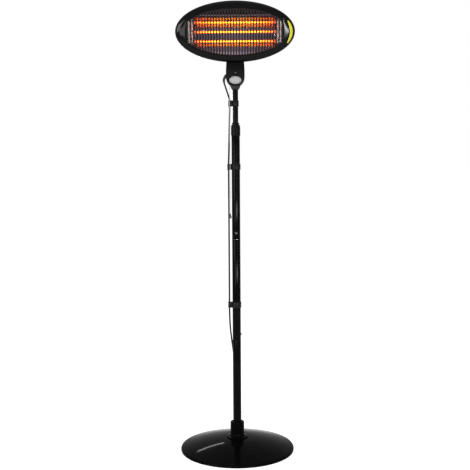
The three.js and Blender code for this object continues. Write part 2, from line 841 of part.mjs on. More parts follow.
// What the neck holds: switch, terminals and the switch that cuts the power when the tower falls.
function makeNeckInside() {
  const lean = (neckTopFront - neckFront) / (neckTop - neckSlopeStart);
  const frontAt = (height) => neckFront + neckWall + seatGap + lean * Math.max(0, height - neckSlopeStart);
  const backWall = neckBack - neckWall - seatGap;
  const side = bracketHalf + insideClear;
  const switchLow = [-switchSide, frontAt(switchTop), switchBottom];
  const switchBody = block(switchLow, [-side, switchLow[1] + switchDepth, switchTop]);
  const drum = rod(drumRadius, drumBottom, switchBottom + insideClear, smallSteps);
  drum.translate(pullCordX, pullCordY + 1, 0);
  const cordWay = rod(pullCordRadius + seatGap, drumBottom - 1, pullCordTop + insideClear, smallSteps);
  cordWay.translate(pullCordX, pullCordY, 0);
  add("pull_switch", cut(join(switchBody, drum), cordWay), satinBlack);

  const terminalLow = [side, frontAt(terminalTop), terminalBottom];
  const terminalHigh = [insideHalfWidth, terminalLow[1] + terminalDepth, terminalTop];
  const pitch = (terminalTop - terminalBottom) / terminalCount;
  const wireHoles = Array.from({ length: terminalCount }, (_, i) => {
    const hole = alongX(rod(wireRadius, 0, 2 * neckHalfWidth, smallSteps));
    return hole.translate(0, terminalLow[1] + terminalDepth / 2, terminalBottom + pitch * (i + 0.5));
  });
  add("terminal_block", cut(block(terminalLow, terminalHigh), ...wireHoles), ceramic);

  const tiltLow = [side, backWall - fallSwitchDepth, fallSwitchBottom];
  const tiltHigh = [insideHalfWidth, backWall, fallSwitchTop];
  const plunger = rod(plungerRadius, fallSwitchBottom - plungerDrop, fallSwitchBottom + 1, smallSteps);
  plunger.translate((tiltLow[0] + tiltHigh[0]) / 2, backWall - fallSwitchDepth / 2, 0);
  add("fall_switch", join(block(tiltLow, tiltHigh), plunger), satinBlack);
}

// The strain relief in the neck's left side, pointing out and down along the cord.
function glandPart(grow) {
  const radius = glandRadius + grow;
  const outside = grow - seatGap;
  const body = turned(
    [
      [0, -glandInside - grow],
      [radius - glandTaper, -glandInside - grow],
      [radius, -glandInside / 2],
      [radius - glandTaper, outside],
      [0, outside],
    ],
    smallSteps,
  );
  const [exitX, exitY, exitZ] = upperRoute[0];
  body.rotateX(Math.PI).rotateY(glandLean).translate(exitX, exitY, exitZ);
  return body;
}

function makeHinge() {
  const earOuter = bracketHalf + seatGap + earThickness;
  const headStart = earOuter + seatGap;
  const boltEnd = headStart + knobLength - knobFloor;
  const shank = alongX(rod(hingeBoltRadius, -headStart - hingeHeadHeight / 2, boltEnd, smallSteps));
  const head = alongX(rod(hingeHeadRadius, -headStart - hingeHeadHeight, -headStart, hexSides));
  add("hinge_bolt", join(shank, head).translate(0, hingeY, hingeZ), steel);

  const knob = [
    [hingeBoltRadius + seatGap, headStart],
    [knobRadius * knobStemShare, headStart],
    [knobRadius * knobStemShare, headStart + knobStemLength - 1],
    [knobRadius, headStart + knobStemLength + 1],
    [knobRadius, headStart + knobLength - knobRounding],
    [knobRadius - knobRounding, headStart + knobLength],
    [0, headStart + knobLength],
    [0, boltEnd + seatGap],
    [hingeBoltRadius + seatGap, boltEnd + seatGap],
  ];
  const round = closed(latheOpen(knob, 3 * knobLobes));
  const grip = ribbed(round, knobRadius - 2 * knobRounding, knobLobes, knobLobeDepth);
  add("tilt_knob", alongX(grip).translate(0, hingeY, hingeZ), satinBlack);
}

// A profile that touches the axis inside its run, as a blind bore does.
function latheOpen(profile, steps) {
  const points = [...profile, profile[0]].map(([radius, height]) => new THREE.Vector2(radius, height));
  return new THREE.LatheGeometry(points, steps).rotateX(Math.PI / 2);
}

// ---------------------------------------------------------------- head

// Angles round the face. The opening's corners are among them, so that its straight ends stay sharp.
const cornerAngle = Math.acos(openingHalfWidth / openingArc);
const faceAngles = (() => {
  const endSteps = 6;
  const longSteps = headSteps / 2 - endSteps;
  const angles = [];
  [0, Math.PI].forEach((turn) => {
    for (let i = 0; i < endSteps; i++) angles.push(turn - cornerAngle + (2 * cornerAngle * i) / endSteps);
    const span = Math.PI - 2 * cornerAngle;
    for (let i = 0; i < longSteps; i++) angles.push(turn + cornerAngle + (span * i) / longSteps);
  });
  return angles;
})();

function ellipseRing(inset, depth, share = 1) {
  return faceAngles.map((angle) => [
    (headHalfWidth - inset) * share * Math.cos(angle),
    depth,
    (headHalfHeight - inset) * share * Math.sin(angle),
  ]);
}

function openingRing(depth) {
  return faceAngles.map((angle) => {
    const across = openingArc * Math.cos(angle);
    const clipped = Math.max(-openingHalfWidth, Math.min(openingHalfWidth, across));
    return [clipped, depth, openingHalfHeight * Math.sin(angle)];
  });
}

// Share 0 is the outer rim and share 1 the opening's edge.
function faceRing(share, depth) {
  const rim = ellipseRing(0, depth);
  const edge = openingRing(depth);
  return rim.map((p, i) => p.map((v, k) => v + (edge[i][k] - v) * share));
}

function makeBezel() {
  const rings = [
    ellipseRing(0, skirtDepth),
    ellipseRing(0, 1),
    ellipseRing(0.8, -1.5),
    ellipseRing(3, -4),
    faceRing(0.3, -lipDepth * 0.6),
    faceRing(0.65, -lipDepth * 0.87),
    faceRing(0.9, -lipDepth),
    faceRing(1, -lipDepth + 0.8),
    faceRing(1, lipBack),
    faceRing(0.62, lipBack),
    faceRing(0.3, -5.4),
    ellipseRing(6, 0),
    ellipseRing(skirtWall, 2.5),
    ellipseRing(skirtWall, skirtDepth),
  ];
  add("head_bezel", skinned(rings, true), satinBlack, headGroup);
}

// The rear casing's outer skin, as [share of the rim, depth] steps.
const shellShares = [
  [1, 0.064],
  [1, 0.18],
  [0.96, 0.41],
  [0.87, 0.64],
  [0.73, 0.83],
  [0.52, 0.956],
  [0.25, 1],
];
const shellSkin = shellShares.map(([share, depthShare]) => [share, depthShare * shellDepth]);

function shellRings(inset, drop) {
  return shellSkin.map(([share, depth], i) => ellipseRing(inset, i === 0 ? depth : depth - drop, share));
}

function makeShell() {
  const outside = shellRings(skirtWall + seatGap, 0);
  const inside = shellRings(skirtWall + seatGap + shellWall, shellWall).reverse();
  const shell = skinned([...outside.reverse(), ...inside.reverse()], false);
  const vents = [];
  for (let i = 0; i < ventCount; i++) {
    for (const side of [-1, 1]) {
      for (const row of [-1, 1]) {
        const slot = new THREE.Shape();
        const half = ventWidth / 2;
        const reach = ventLength / 2 - half;
        slot.absarc(0, reach, half, 0, Math.PI, false);
        slot.absarc(0, -reach, half, Math.PI, 2 * Math.PI, false);
        slot.closePath();
        const settings = { depth: 2 * shellDepth, bevelEnabled: false, curveSegments: 2 };
        const tool = new THREE.ExtrudeGeometry(slot, settings);
        tool.rotateX(Math.PI / 2);
        const across = side * (ventStart + i * ventPitch);
        const lowered = ventHeight - i * ventDrop;
        tool.translate(across, ventCutterShare * shellDepth, row * lowered);
        vents.push(tool);
      }
    }
  }
  add("head_shell", cut(shell, ...vents), darkGrey, headGroup);
}

function makeGuard() {
  const front = lipBack + seatGap;
  const plate = new THREE.Shape(faceRing(guardSeatShare, 0).map(([x, , z]) => new THREE.Vector2(x, z)));
  const half = guardGap / 2;
  for (let i = 0; i < guardGaps; i++) {
    const across = (i - (guardGaps - 1) / 2) * guardPitch;
    const nearSide = Math.abs(across) + half;
    const edge = openingHalfHeight * Math.sqrt(1 - (nearSide / openingArc) ** 2) - guardMargin;
    const slot = new THREE.Path();
    slot.absarc(across, edge - half, half, 0, Math.PI, false);
    slot.absarc(across, half - edge, half, Math.PI, 2 * Math.PI, false);
    slot.closePath();
    plate.holes.push(slot);
  }
  const settings = { depth: guardThickness, bevelEnabled: false, curveSegments: 2 };
  const guard = new THREE.ExtrudeGeometry(plate, settings);
  guard.rotateX(Math.PI / 2).translate(0, front + guardThickness, 0);
  add("guard_grille", closed(guard), satinBlack, headGroup);
}

function makeReflector() {
  const middle = (reflectorTop + reflectorBottom) / 2;
  const half = (reflectorTop - reflectorBottom) / 2;
  const front = lipBack + seatGap + guardThickness + seatGap;
  const sheet = new THREE.Shape();
  const curve = [];
  for (let i = 0; i <= reflectorSteps; i++) {
    const share = (2 * i) / reflectorSteps - 1;
    curve.push([front + (reflectorDepth - front) * (1 - share ** 2), middle + half * share]);
  }
  const outside = curve.map(([depth, height]) => [depth + reflectorWall, height]).reverse();
  [...curve, ...outside].forEach(([depth, height], i) => {
    if (i === 0) sheet.moveTo(depth, height);
    else sheet.lineTo(depth, height);
  });
  sheet.closePath();
  const trough = extrudedAcross(sheet, reflectorHalfLength);
  const ends = [-lipDepth, shellDepth].map((depth) => ellipseRing(reflectorTrim, depth));
  const region = skinned(ends, false);
  add("reflector", common(trough, region), aluminium, headGroup);
}

function holderPlate(side) {
  const front = lipBack + 2 * seatGap + guardThickness;
  const holderInner = reflectorHalfLength + seatGap;
  const across = holderOuter - holderInner;
  const deep = holderBack - front;
  const length = Math.hypot(across, deep);
  const shape = new THREE.Shape();
  shape.moveTo(0, -holderHalfHeight);
  shape.lineTo(length, holderTaper - holderHalfHeight);
  shape.lineTo(length, holderHalfHeight - holderTaper);
  shape.lineTo(0, holderHalfHeight);
  shape.closePath();
  const gaps = [0, 1].map((i) => (tubeHeights[i] + tubeHeights[i + 1]) / 2);
  gaps.forEach((height) => {
    const oval = new THREE.Path();
    const place = length * ovalPlaceShare;
    oval.absellipse(place, height, ovalHalfWidth, ovalHalfHeight, 0, 2 * Math.PI, false, 0);
    shape.holes.push(oval);
  });
  const plateSettings = { depth: holderWall, bevelEnabled: false, curveSegments: 4 };
  const plate = new THREE.ExtrudeGeometry(shape, plateSettings);
  const along = new THREE.Vector3(side * across, -deep, 0).normalize();
  const up = new THREE.Vector3(0, 0, 1);
  const normal = new THREE.Vector3().crossVectors(along, up);
  plate.applyMatrix4(new THREE.Matrix4().makeBasis(along, up, normal));
  plate.translate(side * holderInner, holderBack, 0);
  if (side > 0) plate.translate(...normal.multiplyScalar(-holderWall).toArray());
  const holes = tubeHeights.map((height) => {
    const reach = holderOuter + holderHoleLength;
    const hole = alongX(rod(capRadius + seatGap, -reach, reach, smallSteps));
    return hole.translate(0, tubeDepth, height);
  });
  return cut(plate, ...holes);
}

function makeElements() {
  tubeHeights.forEach((height, i) => {
    const label = ["top", "middle", "bottom"][i];
    const glass = alongX(tube(tubeRadius, tubeWall, -tubeHalfLength, tubeHalfLength, smallSteps));
    add(`quartz_tube_${label}`, glass.translate(0, tubeDepth, height), quartz, headGroup);
    const leadEnd = capEnd + 2;
    const taper = 3;
    const element = turned(
      [
        [0, -leadEnd],
        [leadRadius, -leadEnd],
        [leadRadius, -coilHalfLength - taper],
        [coilRadius, -coilHalfLength],
        [coilRadius, coilHalfLength],
        [leadRadius, coilHalfLength + taper],
        [leadRadius, leadEnd],
        [0, leadEnd],
      ],
      10,
    );
    add(`element_${label}`, alongX(element).translate(0, tubeDepth, height), glow, headGroup);
    [-1, 1].forEach((side) => {
      const bore = tubeRadius + seatGap;
      const stop = tubeHalfLength + seatGap;
      const cap = turned(
        [
          [bore, capStart],
          [capRadius, capStart],
          [capRadius, capEnd - 1],
          [capRadius - 1, capEnd],
          [leadRadius + seatGap, capEnd],
          [leadRadius + seatGap, stop],
          [bore, stop],
        ],
        smallSteps,
      );
      const name = `ceramic_cap_${label}_${side < 0 ? "left" : "right"}`;
      const placed = alongX(cap).rotateZ(side < 0 ? Math.PI : 0);
      add(name, placed.translate(0, tubeDepth, height), ceramic, headGroup);
    });
  });
  add("tube_holder_left", holderPlate(-1), aluminium, headGroup);
  add("tube_holder_right", holderPlate(1), aluminium, headGroup);
}

function roundedBox(inset, depth, bevel) {
  const half = boxHalfWidth - inset;
  const top = boxTop - inset;
  const bottom = boxBottom + inset;
  const corner = boxCorner - inset;
  const shape = new THREE.Shape();
  shape.moveTo(half, bottom + corner);
  shape.absarc(half - corner, top - corner, corner, 0, Math.PI / 2, false);
  shape.absarc(corner - half, top - corner, corner, Math.PI / 2, Math.PI, false);
  shape.absarc(corner - half, bottom + corner, corner, Math.PI, 1.5 * Math.PI, false);
  shape.absarc(half - corner, bottom + corner, corner, 1.5 * Math.PI, 2 * Math.PI, false);
  shape.closePath();
  const bevels = { bevelThickness: bevel, bevelSize: bevel, bevelOffset: -bevel, bevelSegments: 2 };
  const body = new THREE.ExtrudeGeometry(shape, { ...bevels, depth, curveSegments: 2 });
  return body.rotateX(Math.PI / 2);
}

function makeRearBox() {
  // The hinge, in the head's own frame.
  const hinge = new THREE.Vector3(0, hingeY - headY, hingeZ - headZ);
  hinge.applyAxisAngle(new THREE.Vector3(1, 0, 0), -headTilt);
  const frontDepth = skirtDepth + 3;
  const depth = boxDepth - boxBevel - frontDepth;
  const outer = roundedBox(0, depth, boxBevel).translate(0, boxDepth - boxBevel, 0);
  const innerBevel = boxBevel - boxWall;
  const inner = roundedBox(boxWall, boxDepth, innerBevel).translate(0, boxDepth - boxBevel, 0);
  const shape = new THREE.Shape();
  const root = boxBottom + boxWall / 2;
  shape.moveTo(hinge.y + earRadius, root);
  shape.lineTo(hinge.y - earRadius, root);
  shape.lineTo(hinge.y - earRadius, hinge.z);
  shape.absarc(hinge.y, hinge.z, earRadius, Math.PI, 2 * Math.PI, false);
  shape.closePath();
  const ears = [-1, 1].map((side) => {
    const ear = extrudedAcross(shape, earThickness / 2);
    return ear.translate(side * (bracketHalf + seatGap + earThickness / 2), 0, 0);
  });
  const pivot = alongX(rod(hingeBoltRadius + seatGap, -boxHalfWidth, boxHalfWidth, smallSteps));
  pivot.translate(0, hinge.y, hinge.z);
  const skin = shellSkin.map(([share, at]) => ellipseRing(skirtWall, at + seatGap, share));
  const headRoom = skinned([ellipseRing(skirtWall, -lipDepth), ...skin], false);
  const hollow = cut(outer, inner);
  const roomHalf = bracketHalf + seatGap;
  const bracketRoom = alongX(rod(bracketRadius + 5 * seatGap, -roomHalf, roomHalf, tubeSteps));
  bracketRoom.translate(0, hinge.y, hinge.z);
  const earOuter = roomHalf + earThickness;
  const knobSpace = knobRadius + knobLobeDepth + seatGap;
  const knobRoom = alongX(rod(knobSpace, earOuter + seatGap / 2, 2 * boxHalfWidth, tubeSteps));
  knobRoom.translate(0, hinge.y, hinge.z);
  const body = cut(join(hollow, ...ears), pivot, headRoom, bracketRoom, knobRoom);
  add("rear_box", body, darkGrey, headGroup);

  const seat = shellDepth + seatGap;
  const disc = alongY(rod(cutoutRadius, seat, seat + cutoutHeight, smallSteps));
  add("thermal_cutout", disc.translate(0, 0, cutoutPlace), steel, headGroup);
}

// ---------------------------------------------------------------- cords

// The cord's centre line, from the neck down to the plug.
// It bends down beside the neck, in steps from the neck's left edge,
const neckBend = [
  [-2.4, 2.1],
  [-5, -1.6],
  [-7.6, -7.9],
  [-8.5, -14.6],
  [-7.4, -22.2],
  [-2.8, -37.2],
];
// comes in to the mast's clip, in steps from that clip,
const clipBend = [
  [-10, 46],
  [-3.6, 26.5],
  [-1.1, 18.5],
  [-0.1, 12],
  [0, 5],
  [0, -4],
  [0, -clipHeight / 2],
];
const upperRoute = [
  ...neckBend.map(([x, z]) => [x - neckHalfWidth, 0, neckCentreHeight + z]),
  ...clipBend.map(([x, z]) => [clipCordX[2] + x, 0, clipHeights[2] + z]),
];

// leans out to the pole's upper clip, as shares of the way [across, down],
const leanShares = [
  [0, 0],
  [0.018, 0.047],
  [0.232, 0.25],
  [0.411, 0.427],
  [0.679, 0.692],
  [0.929, 0.913],
  [1, 0.973],
  [1, 1],
];
const leanTop = clipHeights[2] - clipHeight / 2 - seatGap;
const leanBottom = clipHeights[1] + clipHeight / 2 + seatGap;
const middleRoute = leanShares.map(([across, down]) => [
  clipCordX[2] + (clipCordX[1] - clipCordX[2]) * across,
  0,
  leanTop + (leanBottom - leanTop) * down,
]);

// runs straight down through both of the pole's clips, as shares of that height,
const straightShares = [0, 0.021, 0.104, 0.311, 0.518, 0.725, 0.898, 0.959, 1];
// winds to the pole's back, as [x, y, share of the height above the base],
const windSteps = [
  [-28.4, 0.8, 0.951],
  [-26.6, 4.5, 0.866],
  [-22.6, 10.5, 0.782],
  [-16.5, 16.5, 0.687],
  [-9.5, 21.5, 0.584],
  [-3.5, 24.5, 0.49],
  [-0.5, 26, 0.3955],
];
// passes the socket, in steps [out from its side, up from the base's flat],
const socketSteps = [
  [0.25, 150],
  [5.25, 95],
  [8.55, 55],
  [9.45, 32],
  [11.45, 22],
  [16.65, 13.3],
  [24.35, 6.9],
  [33.25, 3.6],
];
// crosses the base, as [share of its radius, lift off it],
const domeRun = [
  [0.391, 0.7],
  [0.522, 0.7],
  [0.652, 0.9],
  [0.783, 0.9],
  [0.891, 1],
  [0.965, 1],
];
// comes down to the floor, as [steps out from the base's rim, share of the rim's height],
const floorSteps = [
  [6, 0.765],
  [20, 0.388],
  [33, 0.112],
  [47, 0.027],
  [70, 0.012],
];
// and rises into the plug, as [steps before it, share of the plug's height].
const plugBend = [
  [78, 0.017],
  [62, 0.092],
  [47, 0.363],
  [32, 0.702],
  [19, 0.946],
  [9, 1],
  [seatGap, 1],
];
const straightTop = clipHeights[1] + clipHeight / 2;
const straightBottom = clipHeights[0] - clipHeight / 2;
const lowerRoute = [
  ...straightShares.map((share) => [clipCordX[0], 0, straightTop + (straightBottom - straightTop) * share]),
  ...windSteps.map(([x, y, share]) => [x, y, domeHeight + (straightBottom - domeHeight) * share]),
  ...socketSteps.map(([y, z]) => [0, socketRadius + y, domeHeight + z]),
  ...domeRun.map(([share, lift]) => {
    const y = baseRadius * share;
    return [0, y, domeAt(y) + cordRadius + lift];
  }),
  ...floorSteps.map(([y, share]) => [0, baseRadius + y, cordRadius + rimHeight * share]),
  ...plugBend.map(([back, share]) => [0, plugStart - back, cordRadius + (plugRadius - cordRadius) * share]),
];

function makeClip(name, height, tubeOuter, cordX) {
  const low = height - clipHeight / 2;
  const high = height + clipHeight / 2;
  const past = 1;
  const band = rod(tubeOuter + seatGap + clipWall, low, high, tubeSteps);
  const loop = rod(cordRadius + seatGap + clipWall, low, high, smallSteps).translate(cordX, 0, 0);
  const bridge = block([cordX, -clipBridge / 2, low], [0, clipBridge / 2, high]);
  const bore = rod(tubeOuter + seatGap, low - past, high + past, tubeSteps);
  const eye = rod(cordRadius + 2 * seatGap, low - past, high + past, smallSteps).translate(cordX, 0, 0);
  add(name, cut(join(band, loop, bridge), bore, eye), satinBlack);
}

function makeCords() {
  add("cord_upper", cordAlong(upperRoute, cordRadius, cordSides, cordSteps.upper), cordBlack);
  add("cord_middle", cordAlong(middleRoute, cordRadius, cordSides, cordSteps.middle), cordBlack);
  add("cord_lower", cordAlong(lowerRoute, cordRadius, cordSides, cordSteps.lower), cordBlack);
  const names = ["cord_clip_lower", "cord_clip_middle", "cord_clip_upper"];
  const tubes = [poleRadius, poleRadius, mastRadius];
  names.forEach((name, i) => makeClip(name, clipHeights[i], tubes[i], clipCordX[i]));
  add("cord_gland", glandPart(0), rubber);

  const line = [pullCordTop, (pullCordTop + pullKnobTop) / 2, pullKnobTop + seatGap];
  const pullRoute = line.map((height) => [pullCordX, pullCordY, height]);
  add("pull_cord", cordAlong(pullRoute, pullCordRadius, cordSides, cordSteps.pull), cordGrey);
  const bottom = pullKnobTop - pullKnobLength;
  const bulb = rounded(0, bottom + pullKnobRadius, pullKnobRadius, -Math.PI / 2, Math.PI / 6);
  const knob = [
    [0, bottom],
    ...bulb.slice(1),
    [pullKnobNeck, pullKnobTop - pullKnobRadius / 2],
    [pullKnobNeck, pullKnobTop],
    [0, pullKnobTop],
  ];
  add("pull_knob", turned(knob, smallSteps).translate(pullCordX, pullCordY, 0), satinBlack);

  const bodyStart = plugStart + plugTail;
  const bodyEnd = bodyStart + plugBody;
  const body = turned(
    [
      [0, plugStart],
      [plugNeckRadius, plugStart],
      [plugNeckEnd, bodyStart - plugRounding],
      [plugShoulder, bodyStart + plugRounding],
      [plugRadius, bodyStart + plugBody / 3],
      [plugRadius, bodyEnd - 2 * plugRounding],
      [plugRadius - plugRounding, bodyEnd],
      [0, bodyEnd],
    ],
    tubeSteps,
  ).rotateX(-Math.PI / 2);
  const pins = [-1, 1].map((side) => {
    const pin = turned(
      [
        [0, bodyEnd - pinRadius],
        [pinRadius, bodyEnd - pinRadius],
        [pinRadius, bodyEnd + pinLength - pinRadius],
        [pinRadius / 2, bodyEnd + pinLength],
        [0, bodyEnd + pinLength],
      ],
      smallSteps,
    );
    return pin.rotateX(-Math.PI / 2).translate((side * pinSpacing) / 2, 0, 0);
  });
  add("mains_plug", join(body, ...pins).translate(0, 0, plugRadius), satinBlack);
}

makeBase();
makeSocket();
makePole();
makeLock();
makeMast();
makeNeck();
makeNeckInside();
makeHinge();
makeBezel();
makeShell();
makeGuard();
makeReflector();
makeElements();
makeRearBox();
makeCords();

export default tower;
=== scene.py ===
"""Infrared patio heater tower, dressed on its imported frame, in metres: the front faces -Y."""

from math import acos, asin, cos, pi, radians, sin, sqrt

import bmesh
import bpy
import numpy as np
from mathutils import Matrix, Vector


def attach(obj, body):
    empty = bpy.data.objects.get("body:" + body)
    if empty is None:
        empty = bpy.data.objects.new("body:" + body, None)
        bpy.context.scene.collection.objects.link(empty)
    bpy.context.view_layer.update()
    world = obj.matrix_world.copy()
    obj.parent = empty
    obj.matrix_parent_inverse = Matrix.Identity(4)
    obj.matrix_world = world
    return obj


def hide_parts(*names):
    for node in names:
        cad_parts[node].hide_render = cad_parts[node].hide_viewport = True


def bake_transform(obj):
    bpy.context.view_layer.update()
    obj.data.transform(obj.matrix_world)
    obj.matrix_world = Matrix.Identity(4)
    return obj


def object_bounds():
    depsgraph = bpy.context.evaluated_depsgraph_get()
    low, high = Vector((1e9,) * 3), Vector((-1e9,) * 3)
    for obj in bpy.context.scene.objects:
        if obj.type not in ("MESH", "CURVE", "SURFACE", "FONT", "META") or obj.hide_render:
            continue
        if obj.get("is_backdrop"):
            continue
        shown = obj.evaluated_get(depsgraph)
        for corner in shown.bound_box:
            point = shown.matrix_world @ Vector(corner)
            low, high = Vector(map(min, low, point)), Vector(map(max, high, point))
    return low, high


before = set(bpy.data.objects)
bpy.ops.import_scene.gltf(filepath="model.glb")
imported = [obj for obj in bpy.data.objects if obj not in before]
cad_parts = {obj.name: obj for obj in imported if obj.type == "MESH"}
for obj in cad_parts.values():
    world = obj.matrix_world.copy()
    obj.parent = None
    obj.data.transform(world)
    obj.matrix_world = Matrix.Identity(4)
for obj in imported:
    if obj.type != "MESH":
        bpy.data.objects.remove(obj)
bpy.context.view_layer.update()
scene = bpy.context.scene


# ---- Camera, lamps and floor
# The heater stands on a plain white floor, seen from the front at about chest height.
# Tall lamps stand left and right, low ones light the head, one hangs above and a strip is behind.
def placed(name, data):
    """A new object in the scene."""
    made = bpy.data.objects.new(name, data)
    scene.collection.objects.link(made)
    return made


def posed(place, turn=0.0, axis="X"):
    """A turn about an axis, then a move to the place."""
    return Matrix.Translation(place) @ Matrix.Rotation(turn, 4, axis)


scene.view_settings.view_transform = "Standard"
eye = placed("eye", bpy.data.cameras.new("eye"))
eye.data.lens = 59.07
eye.data.sensor_width = 36.0
eye.data.clip_end = 100.0
eye_place, eye_pitch, eye_roll = (-0.00486, -3.0939, 1.0739), radians(3.68), radians(-0.346)
eye.matrix_world = posed(eye_place, pi / 2 - eye_pitch) @ Matrix.Rotation(eye_roll, 4, "Z")
scene.camera = eye

for name, place, target, width, height, watts in (
    ("lamp_left", (-2.25, -2.0, 1.3), (0, 0, 1.2), 1.1, 0.95, 50),
    ("lamp_right", (1.3, -2.75, 1.4), (0, 0, 1.2), 0.16, 0.8, 14),
    ("lamp_low_left", (-1.5, -2.8, 0.55), (-0.2, 0, 1.66), 1.3, 0.45, 17),
    ("lamp_low_right", (1.2, -2.8, 0.58), (0.2, 0, 1.66), 1.0, 0.2, 50),
    ("lamp_above", (0.1, -0.7, 3.3), (0, 0, 0.4), 1.6, 1.4, 9),
    ("lamp_behind", (-0.66, 2.6, 1.72), (0, 0, 0), 0.62, 0.08, 5),
):
    light = bpy.data.lights.new(name, "AREA")
    light.shape = "RECTANGLE"
    light.size, light.size_y, light.energy = width, height, watts
    holder = placed(name, light)
    holder.location = place
    holder.rotation_euler = (Vector(target) - Vector(place)).to_track_quat("-Z", "Y").to_euler()


def add_node(tree, kind, inputs=None, **settings):
    """A node of the tree. Each input takes a value or another node's output."""
    node = tree.nodes.new(kind)
    for setting, value in settings.items():
        setattr(node, setting, value)
    for socket, value in (inputs or {}).items():
        if isinstance(value, bpy.types.NodeSocket):
            tree.links.new(value, node.inputs[socket])
        else:
            node.inputs[socket].default_value = value
    return node


def calculated(tree, operation, *values):
    return add_node(tree, "ShaderNodeMath", dict(enumerate(values)), operation=operation).outputs[0]


def seen_directly(tree):
    """One for rays from the camera and for those that mirror or pass through, zero for the rest."""
    rays = add_node(tree, "ShaderNodeLightPath").outputs
    either = calculated(tree, "MAXIMUM", rays["Is Camera Ray"], rays["Is Glossy Ray"])
    return calculated(tree, "MAXIMUM", either, rays["Is Transmission Ray"])


white = (1, 1, 1, 1)
sky = bpy.data.worlds.new("plain_sky")
sky.use_nodes = True
scene.world = sky
sky_light = sky.node_tree.nodes["Background"]
sky_light.inputs["Color"].default_value = white
sky_light.inputs["Strength"].default_value = 0.2
sky_white = add_node(sky.node_tree, "ShaderNodeBackground", {"Color": white, "Strength": 1.0})
sky_mix = add_node(
    sky.node_tree,
    "ShaderNodeMixShader",
    {0: seen_directly(sky.node_tree), 1: sky_light.outputs[0], 2: sky_white.outputs[0]},
)
sky.node_tree.links.new(sky_mix.outputs[0], sky.node_tree.nodes["World Output"].inputs["Surface"])

floor_mesh = bpy.data.meshes.new("floor")
floor_z = -0.0004
floor_corners = [(-30, -30, floor_z), (30, -30, floor_z), (30, 60, floor_z), (-30, 60, floor_z)]
floor_mesh.from_pydata(floor_corners, [], [(0, 1, 2, 3)])
floor_paper = bpy.data.materials.new("white_paper")
floor_paper.use_nodes = True
paper_tree = floor_paper.node_tree
paper = paper_tree.nodes["Principled BSDF"]
paper.inputs["Base Color"].default_value = (0.86, 0.86, 0.86, 1)
paper.inputs["Roughness"].default_value = 0.9
paper.inputs["Specular IOR Level"].default_value = 0.1
paper_shine = 0.84  # it meets the white sky without an edge
paper_seen = calculated(paper_tree, "MULTIPLY", seen_directly(paper_tree), paper_shine)
paper_glow = add_node(paper_tree, "ShaderNodeEmission", {"Strength": paper_seen})
paper_sum = add_node(paper_tree, "ShaderNodeAddShader", {0: paper.outputs[0], 1: paper_glow.outputs[0]})
paper_tree.links.new(paper_sum.outputs[0], paper_tree.nodes["Material Output"].inputs["Surface"])
floor_mesh.materials.append(floor_paper)
placed("floor", floor_mesh)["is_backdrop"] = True


# ---- Mains cord, strain relief and plug
# A round rubber-jacketed lead, 6.5 mm thick, moulded into a tapered relief at the neck's left side.
# It runs down through three clips, behind the pole and over the base's back to a moulded plug.
def smooth_route(marks, step):
    """Points at an even step along a smooth curve through the marks."""
    marks = [Vector(m) for m in marks]
    marks = [2 * marks[0] - marks[1], *marks, 2 * marks[-1] - marks[-2]]
    fine = []
    for four in zip(marks, marks[1:], marks[2:], marks[3:]):
        times = [0.0]
        for p, q in zip(four, four[1:]):
            times.append(times[-1] + sqrt((q - p).length))
        for i in range(12):
            t = times[1] + (times[2] - times[1]) * i / 12
            spots = four
            for spans in ((0, 1), (1, 2), (2, 3)), ((0, 2), (1, 3)), ((1, 2),):
                shares = [(t - times[a]) / (times[b] - times[a]) for a, b in spans]
                spots = [p.lerp(q, share) for p, q, share in zip(spots, spots[1:], shares)]
            fine.append(spots[0])
    fine.append(marks[-2])
    runs = [0.0]
    for p, q in zip(fine, fine[1:]):
        runs.append(runs[-1] + (q - p).length)
    count = max(2, round(runs[-1] / step))
    at = np.interp(np.linspace(0, runs[-1], count + 1), runs, np.arange(len(fine)))
    return [fine[int(s)].lerp(fine[min(int(s) + 1, len(fine) - 1)], s - int(s)) for s in at]


def piece(name, points, faces, finish, crease=35):
    """A closed mesh with its faces pointing outwards, smooth but for edges over the crease angle."""
    mesh = bpy.data.meshes.new(name)
    mesh.from_pydata([tuple(p) for p in points], [], faces)
    body = bmesh.new()
    body.from_mesh(mesh)
    bmesh.ops.remove_doubles(body, verts=body.verts, dist=1e-6)
    bmesh.ops.recalc_face_normals(body, faces=body.faces)
    body.to_mesh(mesh)
    body.free()
    mesh.shade_smooth()
    mesh.set_sharp_from_angle(angle=radians(crease))
    mesh.materials.append(finish.material)
    return placed(name, mesh)


def skinned(name, rings, finish, crease=35, looped=False, cap=None):
    """Rings of equal point counts, joined one to the next. Open ends are closed by the cap's faces."""
    count = len(rings[0])
    points = [p for ring in rings for p in ring]
    faces = []
    for r in range(len(rings) if looped else len(rings) - 1):
        here, there = r * count, (r + 1) % len(rings) * count
        for i in range(count):
            j = (i + 1) % count
            faces.append((here + i, here + j, there + j, there + i))
    if not looped:
        cap = cap or [tuple(range(count))]
        faces += [face[::-1] for face in cap]
        faces += [tuple(len(points) - count + i for i in face) for face in cap]
    return piece(name, points, faces, finish, crease)


def round_turns(sides):
    return [2 * pi * i / sides for i in range(sides)]


def tube_along(name, path, radii, sides, finish):
    """A round tube that follows the path, with one radius for each of its points."""
    ways = [(q - p).normalized() for p, q in zip(path, path[1:])]
    ways = [ways[0]] + [(a + b).normalized() for a, b in zip(ways, ways[1:])] + [ways[-1]]
    across = ways[0].orthogonal().normalized()
    rings = []
    for point, way, radius in zip(path, ways, radii):
        across = (across - way * across.dot(way)).normalized()
        up = way.cross(across)
        rings.append([point + radius * (cos(t) * across + sin(t) * up) for t in round_turns(sides)])
    return skinned(name, rings, finish, crease=50)


